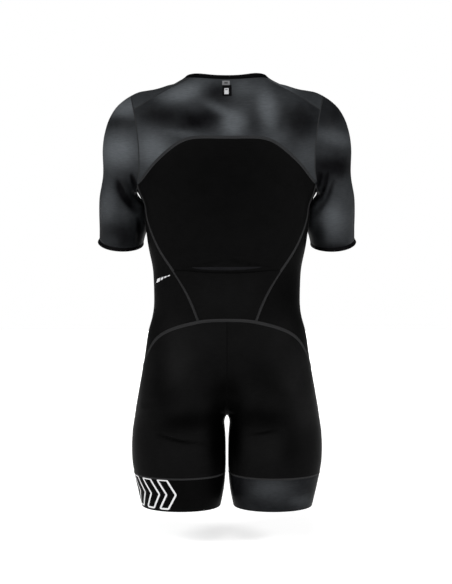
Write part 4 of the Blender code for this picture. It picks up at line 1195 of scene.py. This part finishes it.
class SUIT_OT_prints(bpy.types.Operator):
    """Press the chevrons, the side bars and the blocks under the neck on to the cloth"""

    bl_idname = "suit.prints"
    bl_label = "Prints"

    def execute(self, context):
        ground = ground_of(*(shell.body for shell in SHELLS.values()))
        middle = (CHEVRON_LOW + CHEVRON_HIGH) / 2
        lines = []
        for tip, wide, arm in CHEVRONS:
            back = tip - wide
            corners = (
                (tip, middle), (back, CHEVRON_HIGH), (back - arm, CHEVRON_HIGH),
                (tip - arm, middle), (back - arm, CHEVRON_LOW), (back, CHEVRON_LOW),
            )
            line = []
            for across, height in rounded(corners, CHEVRON_CORNER):
                turn = across * MM / LEG_ROUND
                inside = Vector(LEG_AXIS) + Vector((0, 0, height * MM))
                way = Vector((math.cos(turn), math.sin(turn), 0))
                line.append(tuple(ground.ray_cast(inside, way)[0]))
            lines.append(np.array(line))
        made = strip(
            "leg_chevrons", lines, ground, STROKE * MM, FILM_HIGH,
            step=FILM_STEP, profile=FLAT_STRIP, sunk=FILM_SUNK,
        )
        dress(made, "white", "black_band")
        lip = [tuple(from_behind(ground, *mark)[0]) for mark in smoothed(POCKET_LIP)]
        made = strip(
            "pocket_lip", [np.array(lip)], ground, LIP_HALF_WIDE, LIP_HIGH,
            profile=ROUND_STRIP, sunk=0.0, taper=True,
        )
        dress(made, "elastic", "black_knit")
        pressed("side_bars", SIDE_BARS, ground, BAR_LIFT, "white")
        patch = ground_of(bpy.data.objects["neck_patch_cloth"], SHELLS["upper"].body)
        for name, finish_name, left, right, top, bottom, lift in LABEL_BLOCKS:
            corners = ((left, top), (right, top), (right, bottom), (left, bottom))
            pressed(name, [corners], patch, lift, finish_name)
        return {"FINISHED"}


class SUIT_OT_stage(bpy.types.Operator):
    """Set up the floor, the lights and the camera"""

    bl_idname = "suit.stage"
    bl_label = "Stage"

    def execute(self, context):
        scene = context.scene
        stage = scene.suit_stage
        scene.view_settings.view_transform = "Standard"
        bpy.ops.mesh.primitive_plane_add(size=FLOOR_SIZE, location=(0, 0, stage.floor))
        floor = context.active_object
        floor.name = "floor"
        made, tree, shader, _ = finish("pale studio floor")
        shaded(
            tree, shader, FLOOR_GREY, 0.5, Emission_Color=WHITE, Emission_Strength=stage.glow
        )
        floor.data.materials.append(made)
        world = bpy.data.worlds.new("studio")
        world.use_nodes = True
        tree = world.node_tree
        shown = node(tree, "LightPath").outputs["Is Camera Ray"]
        strength = reckoned(tree, "MULTIPLY_ADD", shown, 1 - stage.air, stage.air)
        fed(tree, tree.nodes["Background"].inputs["Color"], WHITE)
        fed(tree, tree.nodes["Background"].inputs["Strength"], strength)
        scene.world = world
        for name, place, size, power in LIGHTS:
            bpy.ops.object.light_add(type="AREA", location=place)
            light = context.active_object
            light.name = name
            light.data.size = size
            light.data.energy = power
            light.visible_glossy = not name.startswith("front")
            aim_at(light, LIT_PLACE)
        camera = bpy.data.cameras.new("camera")
        camera.lens = stage.lens
        holder = object_of("camera", camera)
        holder.location = Vector(EYE_BEHIND) * MM
        aim_at(holder, stage.aim)
        scene.camera = holder
        return {"FINISHED"}


class SUIT_PT_panel(bpy.types.Panel):
    """Sizes and colours of the suit, and the steps that make it"""

    bl_idname = "SUIT_PT_panel"
    bl_label = "Triathlon suit"
    bl_space_type = "VIEW_3D"
    bl_region_type = "UI"
    bl_category = "Suit"

    def draw(self, context):
        for group in GROUPS:
            held = getattr(context.scene, group)
            box = self.layout.box()
            for name in held.bl_rna.properties.keys():
                if name not in ("rna_type", "name"):
                    box.prop(held, name)
        for operator in OPERATORS:
            self.layout.operator(operator.bl_idname)


GROUPS = {
    "suit_cloth": SuitCloth, "suit_seams": SuitSeams, "suit_zip": SuitZip, "suit_stage": SuitStage,
}
OPERATORS = (
    SUIT_OT_panels, SUIT_OT_trims, SUIT_OT_seams, SUIT_OT_zip, SUIT_OT_prints, SUIT_OT_stage,
)


def register():
    for name, group in GROUPS.items():
        bpy.utils.register_class(group)
        setattr(bpy.types.Scene, name, PointerProperty(type=group))
    for made in (*OPERATORS, SUIT_PT_panel):
        bpy.utils.register_class(made)


def unregister():
    for made in (SUIT_PT_panel, *reversed(OPERATORS)):
        bpy.utils.unregister_class(made)
    for name, group in reversed(GROUPS.items()):
        delattr(bpy.types.Scene, name)
        bpy.utils.unregister_class(group)


def main():
    register()
    bpy.ops.suit.panels()
    bpy.ops.suit.trims()
    bpy.ops.suit.seams()
    bpy.ops.suit.zip()
    bpy.ops.suit.prints()
    bpy.ops.suit.stage()
    for shell in SHELLS.values():
        bpy.data.objects.remove(shell.body)


if __name__ == "__main__":
    main()
